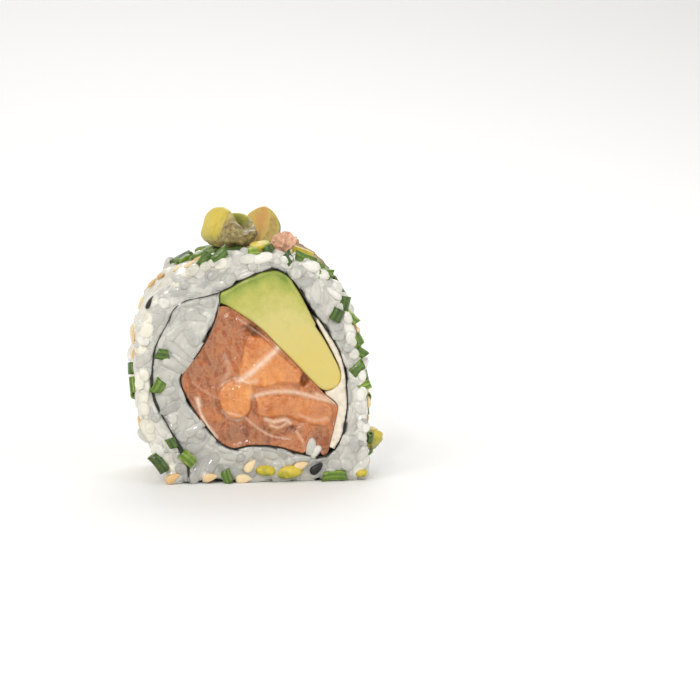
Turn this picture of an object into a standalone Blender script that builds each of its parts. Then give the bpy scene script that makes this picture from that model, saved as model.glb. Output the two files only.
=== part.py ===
"""One piece of an inside-out roll: rice around nori, salmon, avocado and cream cheese, with pistachios on top.

The roll lies on its flattened base, its axis runs along Y, and the cut face that shows looks to -Y.
X is to the right, Z is up, and the origin is in the base under the middle of the roll.
Lengths are worked out in millimetres, in the section's XZ plane and along Y, and built in metres.
"""

import math
import random

import bmesh
import bpy
import numpy as np
from mathutils import Matrix, Vector

MM = 0.001
TOUCHING_GAP = 0.3
WELD = 0.002 * MM

# The roll's section, as the curve of its surface from the right end of the base, over the top, to the left end
ROLL_LENGTH = 28.0
ROLL_SURFACE = [
    (21.0, 0.0), (23.3, 3.2), (23.7, 9.0), (23.6, 15.0), (23.0, 20.5), (22.1, 26.0), (20.9, 31.5),
    (18.7, 37.2), (15.2, 42.0), (10.6, 45.0), (5.0, 46.4), (-1.0, 46.6), (-7.5, 45.6), (-13.2, 43.3),
    (-18.0, 39.7), (-21.3, 34.8), (-23.1, 29.0), (-23.6, 23.0), (-23.2, 17.0), (-22.0, 11.0), (-19.6, 5.4),
    (-15.6, 0.0),
]
SURFACE_SPACING = 2.2
CORE_DEPTH = 0.9
CORE_LENGTH = ROLL_LENGTH - 1.0

# The nori, from its inner edge beside the salmon, round the filling, over the inner rice and down to the base
NORI_THICKNESS = 0.5
NORI_SPACING = 2.4
NORI_PATH = [
    (-6.6, 36.3), (-7.3, 33.4), (-8.7, 29.9), (-10.5, 26.8), (-12.4, 24.3), (-14.2, 22.0), (-14.2, 19.8),
    (-12.8, 16.8), (-11.2, 14.0), (-9.0, 11.0), (-6.8, 8.4), (-4.0, 6.9), (-0.8, 7.4), (2.2, 7.4),
    (5.4, 7.0), (8.2, 6.1), (11.2, 5.3), (14.2, 5.0), (16.6, 6.5), (18.0, 9.2), (18.8, 12.8),
    (19.1, 16.0), (18.9, 19.8), (18.5, 23.0), (17.4, 26.5), (15.6, 29.6), (13.3, 33.0), (10.4, 37.3),
    (8.0, 40.9), (4.4, 42.9), (-1.0, 41.3), (-5.8, 38.7), (-8.6, 37.8), (-11.2, 37.3), (-13.7, 36.6),
    (-15.7, 35.0), (-17.0, 32.2), (-19.2, 28.0), (-19.9, 24.0), (-20.1, 20.0), (-19.2, 16.0),
    (-17.2, 12.2), (-14.9, 7.8), (-13.2, 4.2), (-12.9, 2.2),
]
NORI_LOOP_POINTS = 31
NORI_LENGTH = ROLL_LENGTH - 0.4
SLOT_FOOT = (-13.0, -1.5)

# The filling's outlines, each a ring of points read anticlockwise
SALMON_OUTLINE = [
    (-5.7, 35.2), (-6.3, 33.0), (-7.8, 29.8), (-9.6, 27.0), (-11.6, 24.4), (-13.4, 22.0), (-13.5, 20.0),
    (-12.1, 17.2), (-10.5, 14.5), (-8.3, 11.6), (-6.2, 9.2), (-3.8, 7.7), (-0.8, 8.3), (2.3, 8.3),
    (5.6, 7.8), (8.4, 6.9), (10.4, 6.6), (11.3, 7.6), (12.2, 8.4), (13.3, 7.2), (14.2, 6.0),
    (15.1, 7.2), (16.0, 9.8), (16.7, 12.8), (17.0, 15.0), (16.2, 16.0), (14.6, 17.4), (13.3, 18.7),
    (11.3, 20.8), (8.3, 24.0), (4.9, 27.5), (1.9, 30.6), (-1.5, 33.2), (-4.2, 35.0),
]
AVOCADO_OUTLINE = [
    (-6.0, 36.9), (-5.2, 36.2), (-1.2, 33.6), (2.2, 31.0), (5.2, 27.9), (8.6, 24.4), (11.6, 21.2),
    (13.6, 19.2), (14.8, 18.7), (16.4, 19.0), (17.3, 19.9), (17.6, 21.2), (17.2, 22.9), (16.2, 25.0),
    (15.2, 26.9), (14.1, 28.9), (12.2, 31.8), (9.4, 36.6), (7.3, 40.0), (6.0, 41.3), (4.3, 42.0),
    (2.2, 41.5), (-0.8, 40.3), (-3.6, 38.9), (-5.6, 37.7),
]
CREAM_OUTLINE = [
    (13.2, 32.2), (12.9, 31.6), (14.6, 28.9), (15.7, 26.9), (16.8, 24.9), (17.65, 22.9), (17.95, 21.2),
    (17.6, 19.7), (16.4, 18.65), (15.0, 17.9), (16.2, 16.8), (17.3, 15.5), (17.0, 12.6), (16.4, 9.6),
    (15.6, 7.2), (16.3, 7.3), (17.4, 9.6), (18.15, 12.8), (18.5, 16.0), (18.35, 19.6), (18.05, 22.8),
    (16.9, 26.2), (15.1, 29.3), (13.7, 31.8),
]
FILLING_SPACING = 1.9
FILLING_LENGTH = ROLL_LENGTH - 0.6
EDGE_ROUNDING = 0.35

# Rice, chives and seeds, as length, width and height, and how far apart their middles lie
GRAIN_SIZE = (6.4, 2.9, 2.5)
GRAIN_SIDES, GRAIN_RINGS = 5, 4
SURFACE_GRAIN_PITCH = (5.6, 5.2)
FACE_GRAIN_SPACING = 4.0
CHIVE_DIAMETER = 2.3
CHIVE_LENGTHS = (2.6, 5.4)
CHIVE_SIDES = 6
CHIVE_COUNT = 34
SEED_SIZE = (3.1, 1.9, 1.2)
SEED_COUNT = 22
TOPPING_SPACING = 3.0
SCATTER_SEED = 11

# The folded kernel: the line of its furrow seen from above, back to front, and its cross-section, rightwards
# and up from the furrow, where it is open and where the fold has run out at the front
FURROW = [(-7.6, 5.6), (-6.4, 3.2), (-4.6, 0.2), (-2.9, -2.8), (-1.7, -5.7), (-1.2, -8.0), (-1.3, -10.4)]
FURROW_HEIGHT = 50.4
FURROW_STEPS = 12
# How far along the furrow the fold has half run out and how quickly, and the bluntness of the kernel's ends
RUN_OUT, RUN_OUT_SPEED = 0.68, 18
BACK_BLUNTNESS, FRONT_BLUNTNESS = 2.4, 5.0
FOLD = [
    (-2.4, -3.4), (-0.6, -3.3), (1.4, -2.7), (2.9, -1.3), (3.6, 0.5), (3.6, 2.3), (3.1, 3.3), (2.4, 2.7),
    (1.9, 1.1), (1.3, 0.1), (0.7, 0.0), (0.2, 1.1), (0.1, 2.6), (-0.4, 3.9), (-1.3, 4.7), (-2.2, 3.9),
    (-3.1, 1.6), (-4.2, -1.1), (-3.9, -2.6),
]
SHUT = [
    (-2.6, -2.6), (-0.8, -2.8), (0.8, -2.5), (2.0, -1.9), (2.9, -0.9), (3.2, 0.2), (2.8, 1.1), (2.1, 1.3),
    (1.4, 1.1), (0.8, 1.0), (0.3, 1.2), (-0.3, 1.7), (-0.9, 2.0), (-1.6, 2.2), (-2.4, 2.3), (-3.2, 1.9),
    (-3.9, 0.9), (-4.1, -0.7), (-3.6, -2.0),
]
FOLDED_ROOM = ((-3.8, -2.4, 50.6), (17.6, 10.2, 8.8), (-64, 8, 0))
# The other kernels: middle, (length, width, height), turns about Z, X and Y in degrees, squareness (2 is an
# ellipsoid), and the faces that a knife has left, as their direction and distance from the middle. They are
# bedded on the rice.
KERNELS = {
    "pistachio_cut": (
        (2.9, 5.0, 50.0), (10.8, 7.8, 9.6), (48, 0, 8), 2.0,
        [((-0.43, -0.64, 0.64), 1.2), ((0.50, -0.79, 0.36), 2.2)],
    ),
    "pistachio_skinned": ((13.2, 7.6, 43.0), (10.2, 6.2, 4.0), (-14, 0, 36), 2.4, []),
    "pistachio_slice": ((11.6, 0.8, 45.4), (8.0, 4.4, 3.2), (86, 24, 4), 3.6, [((0.36, 0.0, 0.93), 0.55)]),
    "pistachio_skin": ((6.8, -10.2, 47.6), (5.2, 4.4, 5.0), (25, 20, 0), 2.0, []),
    "pistachio_chip": ((1.9, -11.0, 47.4), (4.2, 3.0, 2.8), (15, 0, 0), 2.6, [((-0.1, -0.31, 0.95), 0.6)]),
    "pistachio_side": ((24.2, -8.2, 7.8), (7.0, 5.2, 4.2), (70, 0, 0), 2.3, []),
}
PEAK_HEIGHT, PEAK_TAPER = 4.2, 0.14
KERNEL_SIDES, KERNEL_RINGS = 10, 7
# Nut crumbs at the foot of the front face: middle, (length, width, height) and slope in degrees
NUT_CRUMBS = [
    ((2.6, 2.4), (4.0, 2.2, 2.2), -4), ((7.4, 2.0), (5.2, 2.6, 2.6), 8), ((22.0, 1.5), (2.4, 1.8, 1.6), 10),
]

# Colour, roughness
RICE_LOOK = ((0.80, 0.79, 0.74, 1.0), 0.35)
NORI_LOOK = ((0.012, 0.018, 0.012, 1.0), 0.55)
SALMON_LOOK = ((0.78, 0.30, 0.12, 1.0), 0.28)
AVOCADO_LOOK = ((0.72, 0.60, 0.20, 1.0), 0.40)
CREAM_LOOK = ((0.88, 0.84, 0.74, 1.0), 0.45)
KERNEL_LOOK = ((0.52, 0.48, 0.08, 1.0), 0.42)
SKIN_LOOK = ((0.52, 0.28, 0.20, 1.0), 0.65)


# Curves in the section's plane


def spline(points, spacing, closed=False):
    """Evenly spaced points on a Catmull-Rom curve through the given ones."""
    given = np.array(points, float)
    count = len(given)
    bends = []
    for start in range(count if closed else count - 1):
        near = [start + step for step in (-1, 0, 1, 2)]
        near = [n % count if closed else min(max(n, 0), count - 1) for n in near]
        a, b, c, d = given[near]
        for t in np.linspace(0, 1, 12, endpoint=False):
            cubic = (3 * b - a - 3 * c + d) * t**3 + (2 * a - 5 * b + 4 * c - d) * t**2
            bends.append(0.5 * (cubic + (c - a) * t + 2 * b))
    bends = np.array(bends + [bends[0] if closed else given[-1]])
    walked = np.append(0, np.cumsum(np.linalg.norm(np.diff(bends, axis=0), axis=1)))
    stops = np.linspace(0, walked[-1], max(4, round(walked[-1] / spacing)) + 1)
    even = np.column_stack([np.interp(stops, walked, bends[:, k]) for k in (0, 1)])
    return even[:-1] if closed else even


def outward(line, closed=False):
    """The unit normals on the right of a line's direction, which is outwards on an anticlockwise one."""
    if closed:
        along = np.roll(line, -1, axis=0) - np.roll(line, 1, axis=0)
    else:
        along = np.gradient(line, axis=0)
    along /= np.linalg.norm(along, axis=1)[:, None]
    return np.column_stack([along[:, 1], -along[:, 0]])


def shifted(line, distance, closed=False):
    return line + distance * outward(line, closed)


def inside(point, ring):
    """True where the point lies within the ring, by the crossings to its right."""
    ahead = np.roll(ring, -1, axis=0)
    spans = (ring[:, 1] > point[1]) != (ahead[:, 1] > point[1])
    rise = np.where(spans, ahead[:, 1] - ring[:, 1], 1)
    reach = ring[:, 0] + (point[1] - ring[:, 1]) / rise * (ahead[:, 0] - ring[:, 0])
    return bool(np.count_nonzero(spans & (point[0] < reach)) % 2)


def surface_at_depth(depth):
    """The roll's surface moved inwards, still ending on the base."""
    line = shifted(spline(ROLL_SURFACE, SURFACE_SPACING), -depth)
    line[[0, -1], 1] = 0
    return line


# Meshes


def unit_matrix(middle, size, turns):
    """Places a ball of radius 1 as a body of that middle and size, turned about Z, X and Y in degrees."""
    spin, pitch, roll = (math.radians(turn) for turn in turns)
    turned = Matrix.Rotation(spin, 4, "Z") @ Matrix.Rotation(pitch, 4, "X") @ Matrix.Rotation(roll, 4, "Y")
    halves = [side / 2 * MM for side in size]
    return Matrix.Translation(Vector(middle) * MM) @ turned @ Matrix.Diagonal((*halves, 1))


def add_object(name, mesh, collection, material=None):
    made = bpy.data.objects.new(name, mesh)
    collection.objects.link(made)
    if material:
        mesh.materials.clear()
        mesh.materials.append(material)
    return made


def mesh_from(work, name):
    """The finished mesh of a bmesh, with its faces pointing out."""
    bmesh.ops.recalc_face_normals(work, faces=work.faces)
    if work.calc_volume(signed=True) < 0:
        bmesh.ops.reverse_faces(work, faces=work.faces)
    mesh = bpy.data.meshes.new(name)
    work.to_mesh(mesh)
    work.free()
    return mesh


def prism(name, outline, length, collection):
    """A slab of the outline, centred on the section's plane, from a filled flat curve."""
    curve = bpy.data.curves.new(name, "CURVE")
    curve.dimensions = "2D"
    curve.fill_mode = "BOTH"
    curve.extrude = length / 2 * MM
    line = curve.splines.new("POLY")
    line.points.add(len(outline) - 1)
    for point, (x, z) in zip(line.points, outline):
        point.co = (x * MM, z * MM, 0, 1)
    line.use_cyclic_u = True
    flat = add_object(name, curve, collection)
    flat.matrix_world = Matrix.Rotation(math.pi / 2, 4, "X")
    bpy.context.view_layer.update()
    graph = bpy.context.evaluated_depsgraph_get()
    work = bmesh.new()
    work.from_mesh(bpy.data.meshes.new_from_object(flat.evaluated_get(graph)))
    work.transform(flat.matrix_world)
    bmesh.ops.remove_doubles(work, verts=work.verts, dist=WELD)
    bpy.data.objects.remove(flat)
    return add_object(name, mesh_from(work, name), collection)


def strip(name, path, thickness, length, collection):
    """A sheet that follows the path in the section and runs along Y, thickened evenly to both sides."""
    work = bmesh.new()
    front = [work.verts.new((x * MM, -length / 2 * MM, z * MM)) for x, z in path]
    edges = [work.edges.new(pair) for pair in zip(front, front[1:])]
    swept = bmesh.ops.extrude_edge_only(work, edges=edges)["geom"]
    back = [item for item in swept if isinstance(item, bmesh.types.BMVert)]
    bmesh.ops.translate(work, verts=back, vec=(0, length * MM, 0))
    sheet = add_object(name, mesh_from(work, name), collection)
    skin = sheet.modifiers.new("thickness", "SOLIDIFY")
    skin.thickness = thickness * MM
    skin.offset = 0
    skin.use_even_offset = True
    return sheet


def filling(name, outline, rings, relief, material, collection):
    """A piece that runs through the roll. Each end is a set of shrinking rings, raised by relief(x, z)."""
    work = bmesh.new()
    rim = spline(outline, FILLING_SPACING, closed=True)
    middle = rim.mean(axis=0)
    ends = []
    for way in (-1, 1):
        layers = []
        for scale in np.append(1, np.linspace(0.94, 0.0, rings, endpoint=False)):
            ring = middle + (rim - middle) * scale
            drop = EDGE_ROUNDING if scale == 1 else 0
            layers.append([
                work.verts.new((x * MM, way * (FILLING_LENGTH / 2 - drop + relief(x, z, way)) * MM, z * MM))
                for x, z in ring
            ])
        x, z = middle
        tip = work.verts.new((x * MM, way * (FILLING_LENGTH / 2 + relief(x, z, way)) * MM, z * MM))
        for outer, inner in zip(layers, layers[1:]):
            bridge(work, outer, inner)
        for a, b in zip(layers[-1], layers[-1][1:] + layers[-1][:1]):
            work.faces.new((a, b, tip))
        ends.append(layers[0])
    bridge(work, *ends)
    return add_object(name, mesh_from(work, name), collection, material)


def bridge(work, one, other):
    """Quads between two rings of as many vertices."""
    for k, vertex in enumerate(one):
        following = (k + 1) % len(one)
        work.faces.new((vertex, one[following], other[following], other[k]))


def bump(x, z, centre, radii, slope=0.0):
    """A round hill of height 1 over an ellipse whose long axis rises by slope degrees."""
    turn = math.radians(slope)
    dx, dz = x - centre[0], z - centre[1]
    u = (dx * math.cos(turn) + dz * math.sin(turn)) / radii[0]
    v = (dz * math.cos(turn) - dx * math.sin(turn)) / radii[1]
    return math.exp(-((u * u + v * v) ** 1.5))


def salmon_relief(x, z, way):
    """The torn flakes of the cut: a raised tongue, two hollows by the avocado, and a fold below a fat line."""
    mirrored = x if way < 0 else 2.0 - x
    height = 0.25 * math.sin(0.45 * mirrored + 0.3 * z)
    height += 0.75 * bump(mirrored, z, (-3.6, 17.2), (3.4, 3.8))
    height += 0.45 * bump(mirrored, z, (4.6, 21.0), (6.0, 2.6), -38)
    height += 0.40 * bump(mirrored, z, (9.0, 15.6), (7.0, 1.6), -4)
    height -= 1.30 * bump(mirrored, z, (1.0, 30.2), (2.2, 1.3), -35)
    height -= 1.60 * bump(mirrored, z, (10.4, 20.6), (1.6, 1.9))
    height -= 0.55 * bump(mirrored, z, (0.8, 15.6), (1.2, 2.6))
    return height


def avocado_relief(x, z, way):
    return 0.25 * math.sin(0.3 * x - 0.22 * z + way) + 0.15


def joined(base, pieces, name, collection, material):
    """Base and every object of a collection as one solid, by one Boolean union, after which they are removed."""
    union = base.modifiers.new("pieces", "BOOLEAN")
    union.operation = "UNION"
    union.operand_type = "COLLECTION"
    union.collection = pieces
    union.solver = "MANIFOLD"
    made = applied(base, name, collection, material)
    for piece in list(pieces.objects):
        bpy.data.objects.remove(piece)
    bpy.data.collections.remove(pieces)
    return made


def applied(source, name, collection, material):
    """The object as its modifiers leave it, under the given name."""
    bpy.context.view_layer.update()
    graph = bpy.context.evaluated_depsgraph_get()
    mesh = bpy.data.meshes.new_from_object(source.evaluated_get(graph))
    mesh.transform(source.matrix_world)
    mesh.name = name
    bpy.data.objects.remove(source)
    return add_object(name, mesh, collection, material)


def cut(target, cutters):
    for cutter in cutters:
        cutter.hide_render = True
        cutter.display_type = "WIRE"
        taken = target.modifiers.new("less " + cutter.name, "BOOLEAN")
        taken.operation = "DIFFERENCE"
        taken.object = cutter
        taken.solver = "MANIFOLD"


def drop_loose_scraps(target):
    """Keeps the largest connected body of a mesh."""
    work = bmesh.new()
    work.from_mesh(target.data)
    left, bodies = set(work.verts), []
    while left:
        body, edge = set(), [left.pop()]
        while edge:
            vertex = edge.pop()
            body.add(vertex)
            found = {e.other_vert(vertex) for e in vertex.link_edges} & left
            left -= found
            edge.extend(found)
        bodies.append(body)
    bodies.sort(key=len)
    scraps = [vertex for body in bodies[:-1] for vertex in body]
    bmesh.ops.delete(work, geom=scraps, context="VERTS")
    work.to_mesh(target.data)
    work.free()


# What lies on and in the rice


def grain_mesh():
    """A rice grain of radius 1: a ball with few sides whose long axis lies along X."""
    work = bmesh.new()
    bmesh.ops.create_uvsphere(work, u_segments=GRAIN_SIDES, v_segments=GRAIN_RINGS, radius=1)
    work.transform(Matrix.Rotation(math.pi / 2, 4, "Y"))
    return mesh_from(work, "grain")


def chive_mesh():
    """A cut of chive of radius 1 that lies along X."""
    work = bmesh.new()
    bmesh.ops.create_cone(
        work, cap_ends=True, segments=CHIVE_SIDES, radius1=1, radius2=1, depth=2
    )
    work.transform(Matrix.Rotation(math.pi / 2, 4, "Y"))
    return mesh_from(work, "chive")


def seed_mesh():
    """A sesame seed of radius 1, pointed towards +X."""
    work = bmesh.new()
    bmesh.ops.create_uvsphere(work, u_segments=5, v_segments=3, radius=1)
    work.transform(Matrix.Rotation(math.pi / 2, 4, "Y"))
    for vertex in work.verts:
        taper = 1 - 0.35 * vertex.co.x
        vertex.co.y *= taper
    return mesh_from(work, "seed")


def on_surface(place, y, depth):
    """The point at that distance round the roll's surface and below it, with the surface's direction there."""
    line = spline(ROLL_SURFACE, SURFACE_SPACING)
    normals = outward(line)
    index = min(max(place / SURFACE_SPACING, 0), len(line) - 1.001)
    low = int(index)
    share = index - low
    point = line[low] * (1 - share) + line[low + 1] * share
    normal = normals[low] * (1 - share) + normals[low + 1] * share
    point = point - depth * normal
    return Vector((point[0], y, point[1])), Vector((normal[0], 0, normal[1])).normalized()


def lying(middle, normal, heading, lift, size):
    """The matrix of a body that lies on a surface, turned by heading in it and lifted at its +X end."""
    side = Vector((0, 1, 0)).cross(normal)
    flat = Matrix((side, Vector((0, 1, 0)), normal)).transposed().to_4x4()
    turned = flat @ Matrix.Rotation(heading, 4, "Z") @ Matrix.Rotation(lift, 4, "Y")
    halves = [measure / 2 * MM for measure in size]
    return Matrix.Translation(middle * MM) @ turned @ Matrix.Diagonal((*halves, 1))


def clear_of_kernels(matrix, margin):
    """True where the long body that the matrix places, of that half width, stays off every kernel."""
    for middle, size, turns in [FOLDED_ROOM] + [settings[:3] for settings in KERNELS.values()]:
        grown = [side + 2 * margin for side in size]
        local = unit_matrix(middle, grown, turns).inverted() @ matrix
        if min((local @ Vector((along, 0, 0))).length for along in (-0.8, -0.4, 0, 0.4, 0.8)) < 1:
            return False
    return True


def add_piece(pieces, name, mesh, matrix):
    made = add_object(name, mesh, pieces)
    made.matrix_world = matrix


def add_surface_grains(pieces, mesh, draw):
    """Rows of grains round the roll, each row set off by half a step and every grain a little uneven."""
    round_pitch, long_pitch = SURFACE_GRAIN_PITCH
    girth = SURFACE_SPACING * (len(spline(ROLL_SURFACE, SURFACE_SPACING)) - 1)
    rows = int(ROLL_LENGTH / long_pitch)
    for column in range(int(girth / round_pitch)):
        for row in range(rows):
            place = (column + 0.5 + draw.uniform(-0.2, 0.2)) * round_pitch
            y = (row + 0.5 - rows / 2 + (0.25 if column % 2 else -0.25)) * long_pitch
            heading = draw.uniform(0, math.pi)
            across = abs(math.sin(heading)) * GRAIN_SIZE[0] / 2
            room = ROLL_LENGTH / 2 - 0.8 - across
            middle, normal = on_surface(place, min(max(y, -room), room), 0.95 + draw.uniform(-0.15, 0.25))
            size = [side * draw.uniform(0.9, 1.12) for side in GRAIN_SIZE]
            matrix = lying(middle, normal, heading, draw.uniform(-0.12, 0.12), size)
            if middle.z > 1.6 and clear_of_kernels(matrix, 1.9):
                add_piece(pieces, "grain", mesh, matrix)


def rice_points(surface, loop, nori, spacing, draw):
    """Places in the section that lie in rice and clear of the nori, no closer to each other than spacing."""
    ring = np.array(shifted(surface, -1.9))
    filled = shifted(loop, NORI_THICKNESS)
    found = []
    for _ in range(2500):
        point = np.array((draw.uniform(-23, 23), draw.uniform(1.6, 46)))
        if not inside(point, ring) or inside(point, filled):
            continue
        if np.linalg.norm(nori - point, axis=1).min() < 2.0:
            continue
        if all(np.linalg.norm(point - other) > spacing for other in found):
            found.append(point)
    return found


def add_face_grains(pieces, mesh, surface, loop, nori, draw):
    """Grains that stand out of both cut faces, lying along the nearest stretch of nori."""
    along = np.gradient(nori, axis=0)
    for way in (-1, 1):
        for point in rice_points(surface, loop, nori, FACE_GRAIN_SPACING, draw):
            nearest = np.linalg.norm(nori - point, axis=1).argmin()
            heading = math.atan2(*along[nearest][::-1]) + draw.uniform(-0.5, 0.5)
            sunk = CORE_LENGTH / 2 - 0.45
            middle = (point[0], way * sunk, point[1])
            size = [side * draw.uniform(0.85, 1.1) for side in GRAIN_SIZE]
            tilt = Matrix.Rotation(draw.uniform(-0.15, 0.15), 4, "Z") @ Matrix.Rotation(-heading, 4, "Y")
            halves = [measure / 2 * MM for measure in size]
            matrix = Matrix.Translation(Vector(middle) * MM) @ tilt @ Matrix.Diagonal((*halves, 1))
            add_piece(pieces, "grain", mesh, matrix)


def add_toppings(pieces, draw):
    """Chives and then sesame seeds, scattered over the surface and kept apart, thickest on the top."""
    girth = SURFACE_SPACING * (len(spline(ROLL_SURFACE, SURFACE_SPACING)) - 1)
    chive, seed = chive_mesh(), seed_mesh()
    taken = []
    for kind, count in (("chive", CHIVE_COUNT), ("seed", SEED_COUNT)):
        added = 0
        for _ in range(2000):
            if added == count:
                break
            place = girth * (0.5 + 0.48 * draw.uniform(-1, 1) * abs(draw.uniform(-1, 1)) ** 0.3)
            y = draw.uniform(-1, 1) * (ROLL_LENGTH / 2 - 2.2)
            depth = 0.35 if kind == "chive" else 0.55
            middle, normal = on_surface(place, y, depth)
            if kind == "chive":
                mesh = chive
                size = (draw.uniform(*CHIVE_LENGTHS), CHIVE_DIAMETER, CHIVE_DIAMETER)
            else:
                mesh = seed
                size = SEED_SIZE
            matrix = lying(middle, normal, draw.uniform(0, 2 * math.pi), draw.uniform(-0.1, 0.1), size)
            apart = all((middle - other).length > TOPPING_SPACING for other in taken)
            if apart and middle.z > 2.4 and clear_of_kernels(matrix, 1.6):
                add_piece(pieces, kind, mesh, matrix)
                taken.append(middle)
                added += 1


def add_nut_crumbs(pieces, mesh):
    for (x, z), size, slope in NUT_CRUMBS:
        middle = (x, -CORE_LENGTH / 2 - 0.1, z)
        add_piece(pieces, "crumb", mesh, unit_matrix(middle, size, (0, 0, -slope)))


def kernel(name, middle, size, turns, squareness, knives, material, collection):
    """A pistachio kernel: an uneven bean or block, sliced flat where a knife went."""
    work = bmesh.new()
    bmesh.ops.create_uvsphere(work, u_segments=KERNEL_SIDES, v_segments=KERNEL_RINGS, radius=1)
    work.transform(Matrix.Rotation(math.pi / 2, 4, "Y"))
    for vertex in work.verts:
        x, y, z = vertex.co
        vertex.co /= sum(abs(n) ** squareness for n in vertex.co) ** (1 / squareness)
        vertex.co *= 1 + 0.05 * math.sin(5 * x + 3 * y + middle[1]) * math.cos(4 * z + middle[0])
    work.transform(unit_matrix(middle, size, turns))
    if name == "pistachio_cut":
        for vertex in work.verts:
            rise = min(max(vertex.co.z / MM - middle[2], 0) / PEAK_HEIGHT, 1)
            for axis, lean in ((0, 0.3), (1, 0.6)):
                vertex.co[axis] -= (vertex.co[axis] - (middle[axis] + lean) * MM) * PEAK_TAPER * rise
    for direction, distance in knives:
        spot = (Vector(middle) + Vector(direction) * distance) * MM
        every = work.verts[:] + work.edges[:] + work.faces[:]
        sliced = bmesh.ops.bisect_plane(
            work, geom=every, plane_co=spot, plane_no=direction, clear_outer=True
        )
        rim = [item for item in sliced["geom_cut"] if isinstance(item, bmesh.types.BMEdge)]
        bmesh.ops.edgeloop_fill(work, edges=rim)
    return add_object(name, mesh_from(work, name), collection, material)


def folded_kernel(name, material, collection):
    """The kernel that is open along a furrow: a thick lobe that rolls over it, and a thin leaf."""
    furrow = spline(FURROW, 16.6 / FURROW_STEPS)
    rightwards = -outward(furrow)
    count = len(FOLD)
    work = bmesh.new()
    rings = []
    for step, (spot, right) in enumerate(zip(furrow, rightwards)):
        share = min(max(step / (len(furrow) - 1), 0.012), 0.988)
        run_out = 1 / (1 + math.exp(-(share - RUN_OUT) * RUN_OUT_SPEED))
        bluntness = FRONT_BLUNTNESS if share > 0.5 else BACK_BLUNTNESS
        narrow = (1 - abs(2 * share - 1) ** bluntness) ** 0.5
        ring = []
        for (open_u, open_w), (shut_u, shut_w) in zip(FOLD, SHUT):
            u = (open_u * (1 - run_out) + shut_u * run_out) * min(1, 0.8 + 0.45 * share)
            w = open_w * (1 - run_out) + shut_w * run_out
            u, w = (u + 0.8) * narrow - 0.8, (w + 0.6) * (narrow * 0.94 + 0.06) - 0.6
            w -= 0.9 * max(0, share - 0.45) * (w > 0)
            place = (spot[0] + u * right[0], spot[1] + u * right[1], FURROW_HEIGHT - 0.6 * share + w)
            ring.append(work.verts.new(Vector(place) * MM))
        rings.append(ring)
    for one, other in zip(rings, rings[1:]):
        for k in range(count):
            after = (k + 1) % count
            work.faces.new((one[k], one[after], other[after], other[k]))
    work.faces.new(rings[0])
    work.faces.new(rings[-1])
    return add_object(name, mesh_from(work, name), collection, material)


# Assembly


def look(name, colour, roughness):
    material = bpy.data.materials.new(name)
    material.use_nodes = True
    shader = material.node_tree.nodes["Principled BSDF"]
    shader.inputs["Base Color"].default_value = colour
    shader.inputs["Roughness"].default_value = roughness
    material.diffuse_color = colour
    return material


def new_collection(name, parent=None):
    made = bpy.data.collections.new(name)
    (parent or bpy.context.scene.collection).children.link(made)
    return made


def make_rice(roll, cutters, nori, loop):
    """The core with its grains, chives and seeds fused on, cut for the filling and for the nori."""
    draw = random.Random(SCATTER_SEED)
    surface = spline(ROLL_SURFACE, SURFACE_SPACING)
    pieces = new_collection("rice_pieces")
    grain = grain_mesh()
    add_surface_grains(pieces, grain, draw)
    add_face_grains(pieces, grain, surface, loop, nori, draw)
    add_toppings(pieces, draw)
    add_nut_crumbs(pieces, grain)
    core = prism("core", surface_at_depth(CORE_DEPTH), CORE_LENGTH, cutters)
    rice = joined(core, pieces, "rice_uncut", roll, None)
    cavity = prism("cavity", shifted(loop, NORI_THICKNESS / 2 + TOUCHING_GAP, True), 2 * ROLL_LENGTH, cutters)
    tail = np.vstack([nori[len(loop) - 3:], SLOT_FOOT])
    slot = strip("slot", tail, NORI_THICKNESS + 2 * TOUCHING_GAP, 2 * ROLL_LENGTH, cutters)
    floor = prism("floor", [(-40, -8), (40, -8), (40, 0), (-40, 0)], 2 * ROLL_LENGTH, cutters)
    cut(rice, (cavity, slot, floor))
    rice = applied(rice, "rice", roll, look("rice", *RICE_LOOK))
    drop_loose_scraps(rice)


def make_kernels(roll, cutters):
    """The pistachios, each bedded on the rice's core."""
    bed = prism("bed", surface_at_depth(CORE_DEPTH - TOUCHING_GAP), 2 * ROLL_LENGTH, cutters)
    nut, skin = look("pistachio", *KERNEL_LOOK), look("pistachio_skin", *SKIN_LOOK)
    cut(folded_kernel("pistachio_open", nut, roll), [bed])
    for name, settings in KERNELS.items():
        cut(kernel(name, *settings, skin if "skin" in name else nut, roll), [bed])


def build():
    for old in list(bpy.data.objects):
        bpy.data.objects.remove(old)
    roll = new_collection("philadelphia_roll")
    cutters = new_collection("cutters")
    nori = spline(NORI_PATH, NORI_SPACING)
    turn_back = np.linalg.norm(nori - np.array(NORI_PATH[NORI_LOOP_POINTS]), axis=1).argmin()
    loop = nori[: turn_back + 1]
    make_rice(roll, cutters, nori, loop)
    sheet = strip("nori", nori, NORI_THICKNESS, NORI_LENGTH, roll)
    sheet.data.materials.append(look("nori", *NORI_LOOK))
    filling("salmon", SALMON_OUTLINE, 4, salmon_relief, look("salmon", *SALMON_LOOK), roll)
    filling("avocado", AVOCADO_OUTLINE, 2, avocado_relief, look("avocado", *AVOCADO_LOOK), roll)
    cream = prism("cream_cheese", spline(CREAM_OUTLINE, FILLING_SPACING, True), FILLING_LENGTH, roll)
    cream.data.materials.append(look("cream_cheese", *CREAM_LOOK))
    make_kernels(roll, cutters)


build()
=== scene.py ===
"""The looks of one piece of an inside-out roll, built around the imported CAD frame.

Shapes are worked out in millimetres, in the frame's axes: the roll lies along Y, its shown face looks to -Y,
Z is up. Each visible kind of thing is one mesh, and values that a material needs ride on its vertices.
"""

import math
import random

import bmesh
import bpy
import numpy as np
from mathutils import Matrix, Vector, noise
from mathutils.geometry import delaunay_2d_cdt
from mathutils.kdtree import KDTree


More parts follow.
